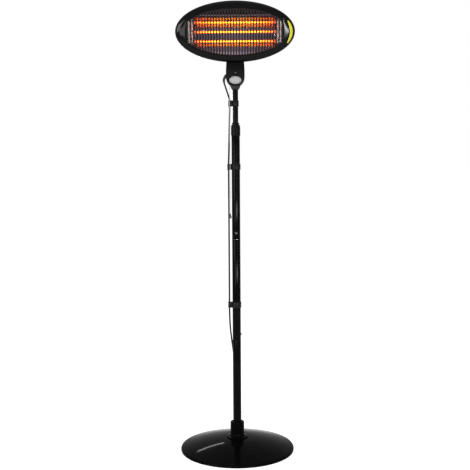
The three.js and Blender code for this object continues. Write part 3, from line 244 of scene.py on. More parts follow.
class Finish:
    """A material whose surface detail comes from noise in object coordinates."""

    def __init__(self, name, colour, roughness, metallic=0.0, level=0.5, **sockets):
        self.material = bpy.data.materials.new(name)
        self.material.use_nodes = True
        self.material.diffuse_color = (*colour, 1)
        self.tree = self.material.node_tree
        self.shader = self.tree.nodes["Principled BSDF"]
        sockets |= {"Base_Color": (*colour, 1), "Roughness": roughness, "Metallic": metallic}
        sockets["Specular_IOR_Level"] = level
        for socket, value in sockets.items():
            self.shader.inputs[socket.replace("_", " ")].default_value = value
        self.colour = colour
        self.place = self.add("ShaderNodeTexCoord").outputs["Object"]
        self.surface = None

    def add(self, kind, inputs=None, **settings):
        return add_node(self.tree, kind, inputs, **settings)

    def feed(self, socket, output):
        self.tree.links.new(output, self.shader.inputs[socket])

    def noise(self, scale, detail, stretch):
        spot = self.add("ShaderNodeMapping", {"Vector": self.place, "Scale": stretch}).outputs[0]
        cloud = {"Vector": spot, "Scale": scale, "Detail": detail}
        return self.add("ShaderNodeTexNoise", cloud).outputs["Fac"]

    def gloss(self, low, high, scale, detail=3.0, stretch=(1, 1, 1), start=0.35, end=0.65):
        """Roughness that wanders between low and high."""
        span = {"From Min": start, "From Max": end, "To Min": low, "To Max": high}
        span["Value"] = self.noise(scale, detail, stretch)
        self.feed("Roughness", self.add("ShaderNodeMapRange", span).outputs[0])
        return self

    def mottle(self, other, scale=1, detail=3.0, start=0.4, end=0.7, pattern=None):
        """Patches of the other colour."""
        ramp = self.add("ShaderNodeValToRGB", {"Fac": pattern or self.noise(scale, detail, (1, 1, 1))})
        for stop, position, colour in zip(ramp.color_ramp.elements, (start, end), (self.colour, other)):
            stop.position = position
            stop.color = (*colour, 1)
        self.feed("Base Color", ramp.outputs["Color"])
        return self

    def grain(self, depth, scale=1, detail=3.0, stretch=(1, 1, 1), strength=1.0, pattern=None):
        """Relief with a depth in metres. A later one lies on the earlier ones."""
        height = pattern or self.noise(scale, detail, stretch)
        bump = self.add("ShaderNodeBump", {"Distance": depth, "Strength": strength, "Height": height})
        if self.surface:
            self.tree.links.new(self.surface, bump.inputs["Normal"])
        self.surface = bump.outputs["Normal"]
        self.feed("Normal", self.surface)
        return self


def fit(part, slot, body, *nodes):
    """Gives a piece its body, and hides the CAD nodes that it stands for. The slot is not used."""
    if nodes:
        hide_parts(*nodes)
    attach(part, body)


cord_thickness = 0.0065
cord_jacket = Finish("cord_jacket", (0.004, 0.004, 0.0042), 0.45, level=0.06)
cord_jacket.gloss(0.38, 0.58, 900, 4).grain(0.00008, 900, 4).mottle((0.006, 0.006, 0.0063), 25)

cord_marks_mm = [
    (-39.4, 0, 1504.7), (-42, 0, 1501), (-44.6, 0, 1494.7), (-45.5, 0, 1488), (-44.4, 0, 1480.4),
    (-39.8, 0, 1465.4), (-33, 0, 1445), (-26.6, 0, 1425.5), (-24.1, 0, 1417.5), (-23.1, 0, 1411),
    (-23, 0, 1404), (-23, 0, 1395), (-23, 0, 1387), (-23.1, 0, 1376), (-24.3, 0, 1330),
    (-25.3, 0, 1290), (-26.8, 0, 1230), (-28.2, 0, 1180), (-28.6, 0, 1168), (-28.6, 0, 1160),
    (-28.6, 0, 1148), (-28.6, 0, 1100), (-28.6, 0, 980), (-28.6, 0, 860), (-28.6, 0, 740),
    (-28.6, 0, 640), (-28.6, 0, 605), (-28.6, 0, 581), (-28.4, 0.8, 555), (-26.6, 4.5, 510),
    (-22.6, 10.5, 465), (-16.5, 16.5, 415), (-9.5, 21.5, 360), (-3.5, 24.5, 310), (-0.5, 26, 260),
    (0, 28.5, 200), (0, 33.5, 145), (0, 36.8, 105), (0, 37.7, 82), (0, 39.7, 72), (0, 44.9, 63.3),
    (0, 52.6, 56.9), (0, 61.5, 53.6), (0, 90, 49.4), (0, 120, 44), (0, 150, 37.6), (0, 180, 30),
    (0, 205, 23), (0, 222, 17.9), (0, 236, 13.2), (0, 250, 8.3), (0, 263, 4.7), (0, 277, 3.6),
    (0, 300, 3.4), (0, 340, 3.5), (0, 356, 4.6), (0, 371, 8.6), (0, 386, 13.6), (0, 399, 17.2),
    (0, 409, 18), (0, 417.7, 18),
]
cord_path = smooth_route([(x / 1000, y / 1000, z / 1000) for x, y, z in cord_marks_mm], 0.006)
mains_cord = tube_along(
    "mains_cord", cord_path, [cord_thickness / 2] * len(cord_path), 14, cord_jacket
)
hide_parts("cord_upper", "cord_middle", "cord_lower")
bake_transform(mains_cord)

relief_length, relief_back, relief_ribs, rib_rise = 0.024, 0.004, 9, 0.00045
collar_end, collar_radius, cone_radius, cone_drop = 0.2, 0.0062, 0.0057, 0.0018
relief_path = [p for p in cord_path if (p - cord_path[0]).length < relief_length]
relief_start = cord_path[0] + (cord_path[0] - cord_path[1]).normalized() * relief_back
relief_path = smooth_route([relief_start, *relief_path], 0.0006)
relief_radii = []
for i in range(len(relief_path)):
    along = i / (len(relief_path) - 1)
    radius = collar_radius if along < collar_end else cone_radius - cone_drop * (along - collar_end)
    rib = rib_rise * cos(along * 2 * pi * relief_ribs) if along > 0.25 else 0
    relief_radii.append(radius + rib)
relief_rubber = Finish("relief_rubber", (0.01, 0.01, 0.011), 0.6).grain(0.00005, 1400)
strain_relief = tube_along("strain_relief", relief_path, relief_radii, 24, relief_rubber)
fit(strain_relief, "gland", "mast")


def turned(name, profile, steps, finish, crease=35, place=None):
    """A profile of (radius, height) turned about Z, then moved by the place matrix."""
    points, rings = [], []
    for radius, height in profile:
        if radius < 1e-7:
            rings.append([len(points)] * steps)
            points.append(Vector((0, 0, height)))
            continue
        rings.append(list(range(len(points), len(points) + steps)))
        points += [Vector((radius * cos(t), radius * sin(t), height)) for t in round_turns(steps)]
    if profile[0][0] > 1e-7:
        rings.append(rings[0])
    faces = []
    for low, high in zip(rings, rings[1:]):
        for i in range(steps):
            j = (i + 1) % steps
            face = tuple(dict.fromkeys((low[i], low[j], high[j], high[i])))
            if len(face) > 2:
                faces.append(face)
    if place is not None:
        points = [place @ p for p in points]
    return piece(name, points, faces, finish, crease)


def filleted(corners, steps=5):
    """(across, up, fillet) corners as (across, up) points, each corner rounded by its fillet."""
    done = []
    for k, (x, y, size) in enumerate(corners):
        here = Vector((x, y))
        if size <= 0 or k in (0, len(corners) - 1):
            done.append((x, y))
            continue
        back = Vector(corners[k - 1][:2]) - here
        ahead = Vector(corners[k + 1][:2]) - here
        reach = min(size, back.length * 0.49, ahead.length * 0.49)
        start = here + back.normalized() * reach
        end = here + ahead.normalized() * reach
        for i in range(steps + 1):
            t = i / steps
            done.append(tuple(start.lerp(here, t).lerp(here.lerp(end, t), t)))
    return done


def mm(*rows):
    """Rows of millimetres in metres."""
    return [tuple(value / 1000 for value in row) for row in rows]


def rod(name, radius, low, high, steps, finish, place=None):
    """A plain round rod along Z, which also serves as a drill."""
    return turned(name, [(0, low), (radius, low), (radius, high), (0, high)], steps, finish, 35, place)


plug_start, plug_height = 0.418, 0.018
lie_down = posed((0, 0, plug_height), -pi / 2)
plug_profile = [(0, plug_start), (0.0045, plug_start)]
tail_rings, tail_pitch, tail_radius, tail_growth, ring_rise = 6, 0.0042, 0.0046, 0.00035, 0.0004
for i in range(tail_rings):
    y, wide = plug_start + 0.004 + i * tail_pitch, tail_radius + i * tail_growth
    plug_profile += [(wide, y), (wide + ring_rise, y + ring_rise), (wide + ring_rise, y + 0.0026)]
    plug_profile.append((wide - 0.0002, y + 0.003))
plug_body = mm(
    (6.6, 29.5, 0), (13, 32.5, 3), (17.6, 41, 4), (17.6, 53.5, 2),
    (16.8, 54.5, 0.5), (17.6, 55.5, 0.5), (17.8, 62, 1.5), (0, 62, 0),
)
plug_profile += filleted([(radius, plug_start + along, size) for radius, along, size in plug_body])
plug_rubber = Finish("plug_rubber", (0.013, 0.013, 0.014), 0.5).grain(0.00006, 1500).gloss(0.42, 0.6, 60)
mains_plug = turned("mains_plug_body", plug_profile, 64, plug_rubber, 30, lie_down)
pin_metal = Finish("pin_metal", (0.75, 0.72, 0.62), 0.22, 1.0).gloss(0.16, 0.34, 300, 3, (1, 0.05, 1))
pin_sleeve = Finish("pin_sleeve", (0.02, 0.02, 0.02), 0.55).grain(0.00003, 1600)
pin_start, pin_spacing = plug_start + 0.060, 0.019
for side, label in ((-1, "left"), (1, "right")):
    beside = posed((side * pin_spacing / 2, 0, 0)) @ lie_down
    sleeve_end = pin_start + 0.0115
    sleeve = rod(f"plug_pin_sleeve_{label}", 0.00235, pin_start, sleeve_end, 24, pin_sleeve, beside)
    tip_sides = mm((0, 11.2, 0), (2.4, 11.2, 0), (2.4, 21, 1.8), (0, 21, 0))
    tip_profile = filleted([(radius, pin_start + along, size) for radius, along, size in tip_sides])
    tip = turned(f"plug_pin_{label}", tip_profile, 24, pin_metal, 35, beside)
    for part in (sleeve, tip):
        fit(part, "mains_plug", "stand")
fit(mains_plug, "mains_plug", "stand", "mains_plug")


# ---- Pull cord and its knob
# A thin grey braided nylon line works the switch in the neck and hangs straight down the left side.
# A small bulb of moulded black plastic on its end gives the fingers something to pull.
pull_x, pull_y, pull_top, pull_bottom = -0.023, -0.014, 1.4795, 0.9633
pull_place = posed((pull_x, pull_y, 0))
pull_path = [Vector((pull_x, pull_y, pull_top - (pull_top - pull_bottom) * i / 90)) for i in range(91)]
braid = Finish("braid", (0.36, 0.36, 0.37), 0.75, Sheen_Weight=0.3)
braid_wave = braid.add(
    "ShaderNodeTexWave", {"Scale": 320, "Vector": braid.place}, wave_type="BANDS", bands_direction="DIAGONAL"
).outputs["Fac"]
braid.grain(0.0002, pattern=braid_wave).mottle((0.5, 0.5, 0.51), start=0.2, end=0.8, pattern=braid_wave)
pull_line = tube_along("pull_line", pull_path, [0.0009] * len(pull_path), 10, braid)
fit(pull_line, "pull_cord", "pull", "pull_cord")
knob_plastic = Finish("pull_knob_plastic", (0.02, 0.02, 0.021), 0.35)
knob_plastic.grain(0.00004, 1200).gloss(0.28, 0.45, 150)
bulb = mm(
    (0, 941.6), (2.2, 941.9), (3.8, 943.2), (4.7, 945.2), (4.9, 947.2), (4.7, 949.2),
    (4.1, 951.5), (3.3, 953.8), (2.6, 956), (2.1, 958), (1.9, 960), (1.9, 962.4),
    (1.7, 962.9), (0, 962.9),
)
pull_bulb = turned("pull_bulb", bulb, 40, knob_plastic, 40, pull_place)
fit(pull_bulb, "pull_knob", "pull", "pull_knob")


# ---- Round base
# A spun steel cover, sprayed gloss black, is rolled over the edge of a pressed steel tray.
# A cast concrete ring fills it, and four rubber feet and one hexagon bolt are underneath.
dome_start, dome_end, cover_top, cover_edge_height = 0.046, 0.224, 0.050, 0.013


def dome_height(radius):
    share = max(0.0, radius - dome_start) / (dome_end - dome_start)
    return cover_edge_height + (cover_top - cover_edge_height) * (1 - share**1.5)


gloss_black = Finish("gloss_black_steel", (0.0022, 0.0022, 0.0024), 0.07, level=0.009)
gloss_black.gloss(0.05, 0.1, 7, 6, start=0.3, end=0.7).grain(0.00002, 260, 2)
gloss_black.grain(0.0004, 9, 2, strength=0.25).mottle((0.0045, 0.0045, 0.0048), 38, 8, 0.5, 0.78)

crown = [(0.0058, cover_top), (dome_start, cover_top)]
crown += [(r, dome_height(r)) for r in np.linspace(0.052, dome_end, 34)]
rolled_edge = mm(
    (226.2, 12.4), (227.9, 11.4), (229.1, 9.8), (229.7, 8), (230, 6),
    (230, 2.2), (229.7, 1.4), (229.2, 1.2), (228.6, 1.4), (228.5, 7),
)
underside = [(r, dome_height(r) - 0.0015) for r in np.linspace(dome_end - 0.0005, 0.052, 20)]
cover_profile = crown + rolled_edge + underside + [(dome_start, 0.0485), (0.0058, 0.0485)]
base_cover = turned("base_dome", cover_profile, 160, gloss_black, 28)
fit(base_cover, "base_cover", "stand", "base_cover")


def keep(finish, *nodes):
    """CAD nodes that stay as they are, with their real finish."""
    for node in nodes:
        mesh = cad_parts[node].data
        mesh.materials.clear()
        mesh.materials.append(finish.material)


tray_paint = Finish("tray_paint", (0.03, 0.03, 0.032), 0.5).gloss(0.4, 0.62, 40, 5).grain(0.00004, 900, 2)
keep(tray_paint, "base_tray")
concrete = Finish("cast_concrete", (0.34, 0.33, 0.3), 0.9)
concrete.mottle((0.46, 0.45, 0.42), 60, 8, 0.35, 0.7).grain(0.0006, 220, 8)
keep(concrete, "base_weight")
foot_rubber = Finish("foot_rubber", (0.02, 0.02, 0.02), 0.8)
foot_rubber.grain(0.00008, 1100).mottle((0.05, 0.048, 0.045), 120, 4, 0.5, 0.75)
keep(foot_rubber, *[f"base_foot_{number}" for number in range(1, 5)])
zinc = Finish("zinc_steel", (0.55, 0.56, 0.58), 0.3, 1.0)
zinc.gloss(0.2, 0.45, 500, 4, (1, 1, 0.2)).mottle((0.42, 0.43, 0.44), 90, 4)
keep(zinc, "base_bolt")


# ---- Pole socket
# A collar of moulded black plastic with a wide flange, bolted to the middle of the base from below.
# The lowest pole tube stands in its deep bore.
socket_plastic = Finish("socket_plastic", (0.0014, 0.0014, 0.0015), 0.26, level=0.012)
socket_plastic.gloss(0.2, 0.34, 90, 5).grain(0.00005, 1300, 2).grain(0.0006, 14, 2, strength=0.3)
socket_sides = mm(
    (5.8, 50.3, 0), (43.4, 50.3, 0.6), (43.4, 54.5, 1.2), (34.5, 55.6, 4),
    (30.5, 58.5, 3), (28.2, 66, 6), (28.2, 114.5, 5.5), (17.1, 114.9, 0.6),
    (17.1, 57.8, 0), (5.8, 57.8, 0),
)
pole_socket = turned("pole_collar", filleted(socket_sides, 7), 96, socket_plastic, 30)
fit(pole_socket, "pole_socket", "stand", "pole_socket")


# ---- Pole tubes
# Three drawn steel tubes, sprayed gloss black, meet end to end over inner steel sleeves.
# Each joint is held by one domed screw with a cross recess, just above the seam.
pole_paint = Finish("pole_paint", (0.0008, 0.0008, 0.0009), 0.1, level=0.035)
pole_paint.gloss(0.07, 0.14, 30, 5, (1, 1, 0.15)).grain(0.000018, 300, 2)
pole_paint.mottle((0.003, 0.003, 0.0032), 45, 7, 0.52, 0.8)
pole_radius, mast_radius, pipe_wall = 0.01675, 0.011, 0.0012


def pipe(name, outer, low, high, finish):
    inner, middle, edge = outer - pipe_wall, (low + high) / 2, 0.0007
    sides = [
        (inner, middle, 0), (inner, low, 0.0003), (outer, low, edge), (outer, high, edge),
        (inner, high, 0.0003), (inner, middle + 0.001, 0),
    ]
    return turned(name, filleted(sides, 3), 72, finish, 40)


for label, low, high in (("lower", 0.0581, 0.44685), ("middle", 0.44715, 0.85785), ("upper", 0.85815, 1.3)):
    tube = pipe(f"pole_tube_{label}", pole_radius, low, high, pole_paint)
    fit(tube, "pole", "stand", f"pole_{label}")
coupler_steel = Finish("coupler_steel", (0.5, 0.51, 0.53), 0.32, 1.0).gloss(0.24, 0.44, 200, 3, (1, 1, 0.05))
keep(coupler_steel, "pole_coupler_lower", "pole_coupler_upper")


def settled(target, *spare):
    """The target with its modifiers made part of its mesh, and the spare objects removed."""
    graph = bpy.context.evaluated_depsgraph_get()
    made = bpy.data.meshes.new_from_object(target.evaluated_get(graph))
    target.modifiers.clear()
    target.data = made
    for tool in spare:
        bpy.data.objects.remove(tool)
    return target


def cut_with(target, *tools):
    """Takes the tools out of the target and removes them."""
    for tool in tools:
        step = target.modifiers.new("cut", "BOOLEAN")
        step.operation = "DIFFERENCE"
        step.solver = "EXACT"
        step.object = tool
    return settled(target, *tools)


def box_tool(name, low, high):
    corners = [(x, y, z) for x in (low[0], high[0]) for y in (low[1], high[1]) for z in (low[2], high[2])]
    faces = [(0, 1, 3, 2), (4, 6, 7, 5), (0, 4, 5, 1), (2, 3, 7, 6), (0, 2, 6, 4), (1, 5, 7, 3)]
    return piece(name, corners, faces, zinc)


def domed_screw(name, radius, height):
    """A domed head with a cross recess, standing on z = 0."""
    rim = [(0, 0), (radius * 0.96, 0), (radius, height * 0.1)]
    for i in range(1, 8):
        turn = i / 8 * pi / 2
        rim.append((radius * cos(turn), height * (0.1 + 0.9 * sin(turn))))
    head = turned(name, [*rim, (0, height)], 40, screw_black, 40)
    arm, wide, deep = radius * 0.55, radius * 0.12, height * 0.45
    return cut_with(
        head,
        box_tool("arm_a", (-arm, -wide, deep), (arm, wide, 2 * height)),
        box_tool("arm_b", (-wide, -arm, deep), (wide, arm, 2 * height)),
    )


def shape(tree, kind, inputs=None, **settings):
    """The first output of a Geometry Nodes node."""
    return add_node(tree, "GeometryNode" + kind, inputs, **settings).outputs[0]


def gathered(tree, *shapes):
    """One geometry of several."""
    gather = add_node(tree, "GeometryNodeJoinGeometry")
    for one in shapes:
        tree.links.new(one, gather.inputs[0])
    return gather.outputs[0]


def grown(target, sizes, finish, build):
    """Runs a Geometry Nodes tree on the target: build makes the shape from the tree's named inputs."""
    tree = bpy.data.node_groups.new(target.name, "GeometryNodeTree")
    tree.interface.new_socket("Geometry", in_out="INPUT", socket_type="NodeSocketGeometry")
    sizes = {**sizes, "Finish": finish.material}
    sockets = {}
    for name, value in sizes.items():
        kind = "NodeSocket" + type(value).__name__.capitalize()
        sockets[name] = tree.interface.new_socket(name, in_out="INPUT", socket_type=kind)
    tree.interface.new_socket("Geometry", in_out="OUTPUT", socket_type="NodeSocketGeometry")
    entry = tree.nodes.new("NodeGroupInput").outputs
    real = shape(tree, "RealizeInstances", {0: build(tree, entry)})
    coat = shape(tree, "SetMaterial", {0: real, "Material": entry["Finish"]})
    add_node(tree, "NodeGroupOutput", {0: coat})
    step = target.modifiers.new(target.name, "NODES")
    step.node_group = tree
    for name, value in sizes.items():
        step[sockets[name].identifier] = value
    return settled(target)


def domed_screws(name, radius, height, places):
    """Domed screws at the places, each (place, turn)."""

    def copies(tree, entry):
        made = []
        for place, turn in places:
            spot = shape(tree, "Points", {"Position": place})
            copy = {"Points": spot, "Instance": entry["Geometry"], "Rotation": turn, "Scale": entry["Size"]}
            made.append(shape(tree, "InstanceOnPoints", copy))
        return gathered(tree, *made)

    return grown(domed_screw(name, radius, height), {"Size": 1.0}, screw_black, copies)


screw_black = Finish("screw_steel", (0.07, 0.07, 0.073), 0.3, 0.9).gloss(0.22, 0.42, 700)
quarter, screw_out = pi / 2, 0.01695
pole_screw_places = [((screw_out, 0, 0.4725), (0, quarter, 0)), ((0, -screw_out, 0.8835), (quarter, 0, 0))]
pole_screws = domed_screws("pole_screw_heads", 0.0054, 0.0031, pole_screw_places)
fit(pole_screws, "fastener", "stand", "pole_screw_lower", "pole_screw_upper")


# ---- Twist lock
# A split nylon collet sits in the pole's mouth, and a ribbed sleeve turns on it by hand.
# Turning the sleeve squeezes the collet onto the sliding mast.
lock_plastic = Finish("lock_plastic", (0.004, 0.004, 0.0043), 0.3, level=0.05)
lock_plastic.gloss(0.32, 0.48, 120, 4).grain(0.00004, 1500, 2)
collet_sides = mm(
    (11.3, 1280, 0), (11.3, 1262, 0.4), (15.25, 1262, 0.5), (15.25, 1300.3, 0),
    (16.75, 1300.3, 0), (16.75, 1302.7, 0), (14.4, 1302.7, 0.3), (14.4, 1322.4, 2.2),
    (11.3, 1322.4, 0.8), (11.3, 1281, 0),
)
collet = turned("collet_ring", filleted(collet_sides), 72, lock_plastic)
fit(collet, "lock", "stand", "lock_collet")
grip_plastic = Finish("grip_plastic", (0.0028, 0.0028, 0.003), 0.22, level=0.05)
grip_plastic.gloss(0.16, 0.3, 90, 4).grain(0.00004, 1400, 2)
grip_sides = mm(
    (17.2, 1290, 0), (17.2, 1270, 0.3), (18.4, 1270, 0.8), (18.4, 1272.6, 0.4),
    (17.9, 1273.5, 0.4), (17.6, 1307.5, 0.4), (18.1, 1308.5, 0.4), (18, 1312.9, 2.2),
    (14.7, 1312.9, 0.4), (14.7, 1303, 0), (17.2, 1303, 0),
)
grip_sleeve = turned("grip_sleeve", filleted(grip_sides), 96, grip_plastic)


def vector(tree, **parts):
    return add_node(tree, "ShaderNodeCombineXYZ", parts).outputs[0]


def point_parts(tree):
    """The coordinates of each point, as separate outputs."""
    return add_node(tree, "ShaderNodeSeparateXYZ", {0: shape(tree, "InputPosition")}).outputs


def ring_of_ribs(tree, entry):
    """Copies of the rib round a circle, each turned to face outwards, joined to the target."""
    circle = shape(tree, "MeshCircle", {"Vertices": entry["Count"], "Radius": entry["Radius"]})
    lift = vector(tree, Z=entry["Height"])
    raised = shape(tree, "Transform", {"Geometry": circle, "Translation": lift})
    parts = point_parts(tree)
    turn = vector(tree, Z=calculated(tree, "ARCTAN2", parts["Y"], parts["X"]))
    rib = add_node(tree, "GeometryNodeObjectInfo", {"Object": entry["Rib"]}).outputs["Geometry"]
    copies = shape(tree, "InstanceOnPoints", {"Points": raised, "Instance": rib, "Rotation": turn})
    return gathered(tree, copies, entry["Geometry"])


def ribbed(target, finish, count, radius, height, length, wide, deep, lean):
    """Half-round upright ribs round the target, each thinner towards its ends."""
    rings = []
    for share, size in ((0, 0.25), (0.03, 0.75), (0.08, 1.0), (0.92, 1.0), (0.97, 0.75), (1, 0.25)):
        z, shift, half = length * (share - 0.5), lean * (share - 0.5), wide / 2 * size
        ring = []
        for i in range(7):
            turn = pi * (i / 6 - 0.5)
            ring.append(Vector((shift + deep * size * cos(turn), half * sin(turn), z)))
        ring += [Vector((shift - deep * 0.6, half, z)), Vector((shift - deep * 0.6, -half, z))]
        rings.append(ring)
    rib = skinned("rib", rings, finish, 50)
    sizes = {"Count": count, "Radius": radius, "Height": height, "Rib": rib}
    grown(target, sizes, finish, ring_of_ribs)
    bpy.data.objects.remove(rib)


ribbed(grip_sleeve, grip_plastic, 24, 0.01765, 1.2905, length=0.033, wide=0.0022, deep=0.0009, lean=-0.0004)
fit(grip_sleeve, "lock", "lock_sleeve", "lock_sleeve")


# ---- Sliding mast
# A slimmer steel tube in satin black slides in the pole, and carries the neck on its top.
# A nylon guide on its lower end keeps it in the middle.
mast_paint = Finish("mast_paint", (0.0025, 0.0025, 0.0027), 0.2, level=0.05)
mast_paint.gloss(0.16, 0.28, 200, 4, (1, 1, 0.02)).grain(0.000015, 260, 3, (1, 1, 0.01))
mast_bottom, mast_top = 0.96, 1.496
fit(pipe("mast_pipe", mast_radius, mast_bottom, mast_top, mast_paint), "mast", "mast", "mast_tube")
keep(Finish("guide_nylon", (0.03, 0.03, 0.03), 0.45).grain(0.00004, 900), "mast_guide")


# ---- Cord clips
# Three clips of moulded nylon snap round the tubes, and each holds the mains cord in a small eye.
# The two lower ones grip the pole and the top one rides on the mast.
clip_plastic = Finish("clip_plastic", (0.006, 0.006, 0.0064), 0.4, level=0.07)
clip_plastic.gloss(0.36, 0.52, 140, 4).grain(0.00004, 1300, 2)


def clip_outline(band, eye_x, eye_radius, bridge):
    """The outside of a band round the tube, a small eye beside it, and the bridge between them."""
    meet_band = asin(bridge / band)
    meet_eye = asin(bridge / eye_radius)
    outline = []
    for i in range(49):
        turn = -pi + meet_band + (2 * pi - 2 * meet_band) * i / 48
        outline.append((band * cos(turn), band * sin(turn)))
    for i in range(25):
        turn = meet_eye + (2 * pi - 2 * meet_eye) * i / 24
        outline.append((eye_x + eye_radius * cos(turn), eye_radius * sin(turn)))
    return outline


slip, clip_half_height = 0.0004, 0.0119
for label, body, middle, radius, eye_x in (
    ("lower", "stand", 0.593, pole_radius, -0.0286),
    ("middle", "stand", 1.148, pole_radius, -0.0286),
    ("upper", "mast", 1.399, mast_radius, -0.023),
):
    outline = clip_outline(radius + 0.0022, eye_x, 0.0054, 0.0038)
    inward = clip_outline(radius + 0.0018, eye_x, 0.005, 0.0034)
    low, high = middle - clip_half_height, middle + clip_half_height
    levels = [(inward, low), (outline, low + 0.0006), (outline, high - 0.0006), (inward, high)]
    rings = [[Vector((x, y, z)) for x, y in loop] for loop, z in levels]
    clip = skinned(f"clip_{label}", rings, clip_plastic, 40)
    beside = posed((eye_x, 0, 0))
    cut_with(
        clip,
        rod("bore", radius + slip, low - 0.01, high + 0.01, 64, clip_plastic),
        rod("eye_hole", 0.0036, low - 0.01, high + 0.01, 32, clip_plastic, beside),
    )
    fit(clip, "clip", body, f"cord_clip_{label}")


# ---- Neck housing
# Two moulded shells of matt black plastic close round the switch gear on top of the mast.
# One deep-set screw clamps them from the front, and a bare pale oval plate is stuck below it.
neck_plastic = Finish("neck_plastic", (0.005, 0.005, 0.0053), 0.45, level=0.06)
neck_plastic.gloss(0.44, 0.6, 160, 5).grain(0.00006, 1700, 2).grain(0.0005, 18, 2, strength=0.25)
neck_centre, neck_slope, neck_peak, neck_half, neck_top_half = 1.5026, 1.525, 1.57, 0.037, 0.0352
neck_front, neck_seam, neck_back = -0.022, 0.006, 0.032
front_round, rear_round, shell_wall, shell_middle = 0.005, 0.006, 0.003, 0.034


def neck_outline(inset):
    """The neck seen from the front: a round foot, straight sides and a slightly narrower top."""
    half, top_half, top = neck_half - inset, neck_top_half - inset, neck_peak - inset
    corner = min(0.003, top_half / 2)
    rise, narrow = top - corner - neck_slope, half - top_half
    outline = [(top_half - corner, top), (0, top), (corner - top_half, top), (-top_half, top - corner)]
    outline += [(-top_half - narrow * i / 5, top - corner - rise * i / 5) for i in range(1, 6)]
    outline += [(-half, 1.514)]
    for i in range(49):
        turn = pi + pi * i / 48
        outline.append((half * cos(turn), neck_centre + half * sin(turn)))
    outline += [(half, 1.514)]
    outline += [(half - narrow * i / 5, neck_slope + rise * i / 5) for i in range(6)]
    return outline


def front_ring(inset, sunk):
    """A ring that follows the sloped front, sunk below its skin."""
    slope = 0.014 / (neck_peak - neck_slope)
    depth = neck_front + sunk
    return [Vector((x, depth + slope * max(0.0, z - neck_slope), z)) for x, z in neck_outline(inset)]


def flat_ring(inset, y):
    return [Vector((x, y, z)) for x, z in neck_outline(inset)]


def neck_shell(name, skin, inner):
    """A neck half: its skin and inner side run out from the seam, and both are closed down the middle."""
    count = len(skin[0])
    cap = [(0, 1, 2, 3, count - 1)]
    cap += [(i, i + 1, (1 - i) % count, (2 - i) % count) for i in range(3, count // 2)]
    cap.append((count // 2, count // 2 + 1, count // 2 + 2))
    return skinned(name, inner[::-1] + skin, neck_plastic, 32, cap=cap)


front_skin = [flat_ring(0.0004, neck_seam - 0.0002), flat_ring(0, neck_seam - 0.0007)]
for turn in np.linspace(0, pi / 2, 7):
    front_skin.append(front_ring(front_round * (1 - cos(turn)), front_round * (1 - sin(turn))))
front_groove = mm((5.8, 0), (6.4, 0.5), (7.2, 0.6), (7.8, 0.2), (20, 0.1), (34, 0))
front_skin += [front_ring(*step) for step in front_groove]
front_inner = [flat_ring(shell_wall, neck_seam - 0.0002)]
front_inner += [front_ring(*step) for step in mm((3.2, 7), (9, 3), (34, 3))]
neck_shell_front = neck_shell("neck_shell_front", front_skin, front_inner)
rear_skin = [flat_ring(0.0004, neck_seam + 0.0002), flat_ring(0, neck_seam + 0.0007)]
for turn in np.linspace(0, pi / 2, 8):
    rear_skin.append(flat_ring(rear_round * (1 - cos(turn)), neck_back - rear_round * (1 - sin(turn))))
rear_skin += [flat_ring(0.02, neck_back), flat_ring(shell_middle, neck_back)]
rear_inner = [flat_ring(shell_wall, neck_seam + 0.0002), flat_ring(0.0032, neck_back - 0.007)]
rear_inner += [flat_ring(inset, neck_back - shell_wall) for inset in (0.009, shell_middle)]
neck_shell_rear = neck_shell("neck_shell_rear", rear_skin, rear_inner)


def neck_tools():
    gland_place = posed((-0.0394, 0, 1.5047), radians(40), "Y")
    return (
        box_tool("hinge_room", (-0.0114, 0.0002, 1.55), (0.0114, 0.0268, 1.6)),
        rod("mast_room", mast_radius + slip, 1.44, mast_top, 64, zinc),
        rod("gland_room", 0.0064, -0.004, 0.014, 40, zinc, gland_place),
    )


def line_room():
    return rod("line_room", 0.0013, 1.46, 1.49, 20, zinc, pull_place)


spout_sides = mm((0, 1470.7, 0), (3.4, 1470.7, 0.8), (3.4, 1479.5, 0), (0, 1479.5, 0))
pull_spout = turned("pull_spout", filleted(spout_sides, 4), 32, neck_plastic, 35, pull_place)
cut_with(pull_spout, line_room())
recess_radius, recess_floor = 0.0073, neck_front + 0.004
recess_place = posed((0.002, 0, 1.517), pi / 2)
recess_tool = rod("recess", recess_radius, -recess_floor, 0.01 - neck_front, 48, zinc, recess_place)
cut_with(neck_shell_front, *neck_tools(), line_room(), recess_tool)
cut_with(neck_shell_rear, *neck_tools())
recess_sides = [
    (recess_radius, neck_front + 0.0004, 0), (recess_radius, recess_floor - 0.0001, 0.0006),
    (0.0028, recess_floor - 0.0001, 0), (0.0028, recess_floor + 0.002, 0),
    (0.0095, recess_floor + 0.002, 0), (0.0095, neck_front + 0.0004, 0),
]
recess_profile = [(radius, -y) for radius, y in filleted(recess_sides, 4)]
screw_well = turned("screw_well", recess_profile, 48, neck_plastic, 35, recess_place)
fit(neck_shell_front, "neck", "mast", "neck_front")
fit(neck_shell_rear, "neck", "mast", "neck_rear")
fit(pull_spout, "neck", "mast", "neck_front")
fit(screw_well, "neck", "mast", "neck_front")

neck_screw_head = domed_screw("neck_screw_head", 0.0044, 0.0024)
on_floor = posed((0, recess_floor - 0.0003, 0))
neck_screw_head.data.transform(on_floor @ recess_place @ Matrix.Rotation(0.4, 4, "Z"))
fit(neck_screw_head, "fastener", "mast", "neck_screw")

badge_enamel = Finish("badge_enamel", (0.34, 0.34, 0.34), 0.35, level=0.2)
badge_enamel.gloss(0.24, 0.4, 120, 4).mottle((0.31, 0.31, 0.32), 60, 4)
badge_rim = Finish("badge_rim", (0.12, 0.12, 0.125), 0.4).gloss(0.32, 0.5, 300)
badge_z, badge_half_width, badge_half_height, badge_sides = 1.488, 0.0236, 0.0147, 72


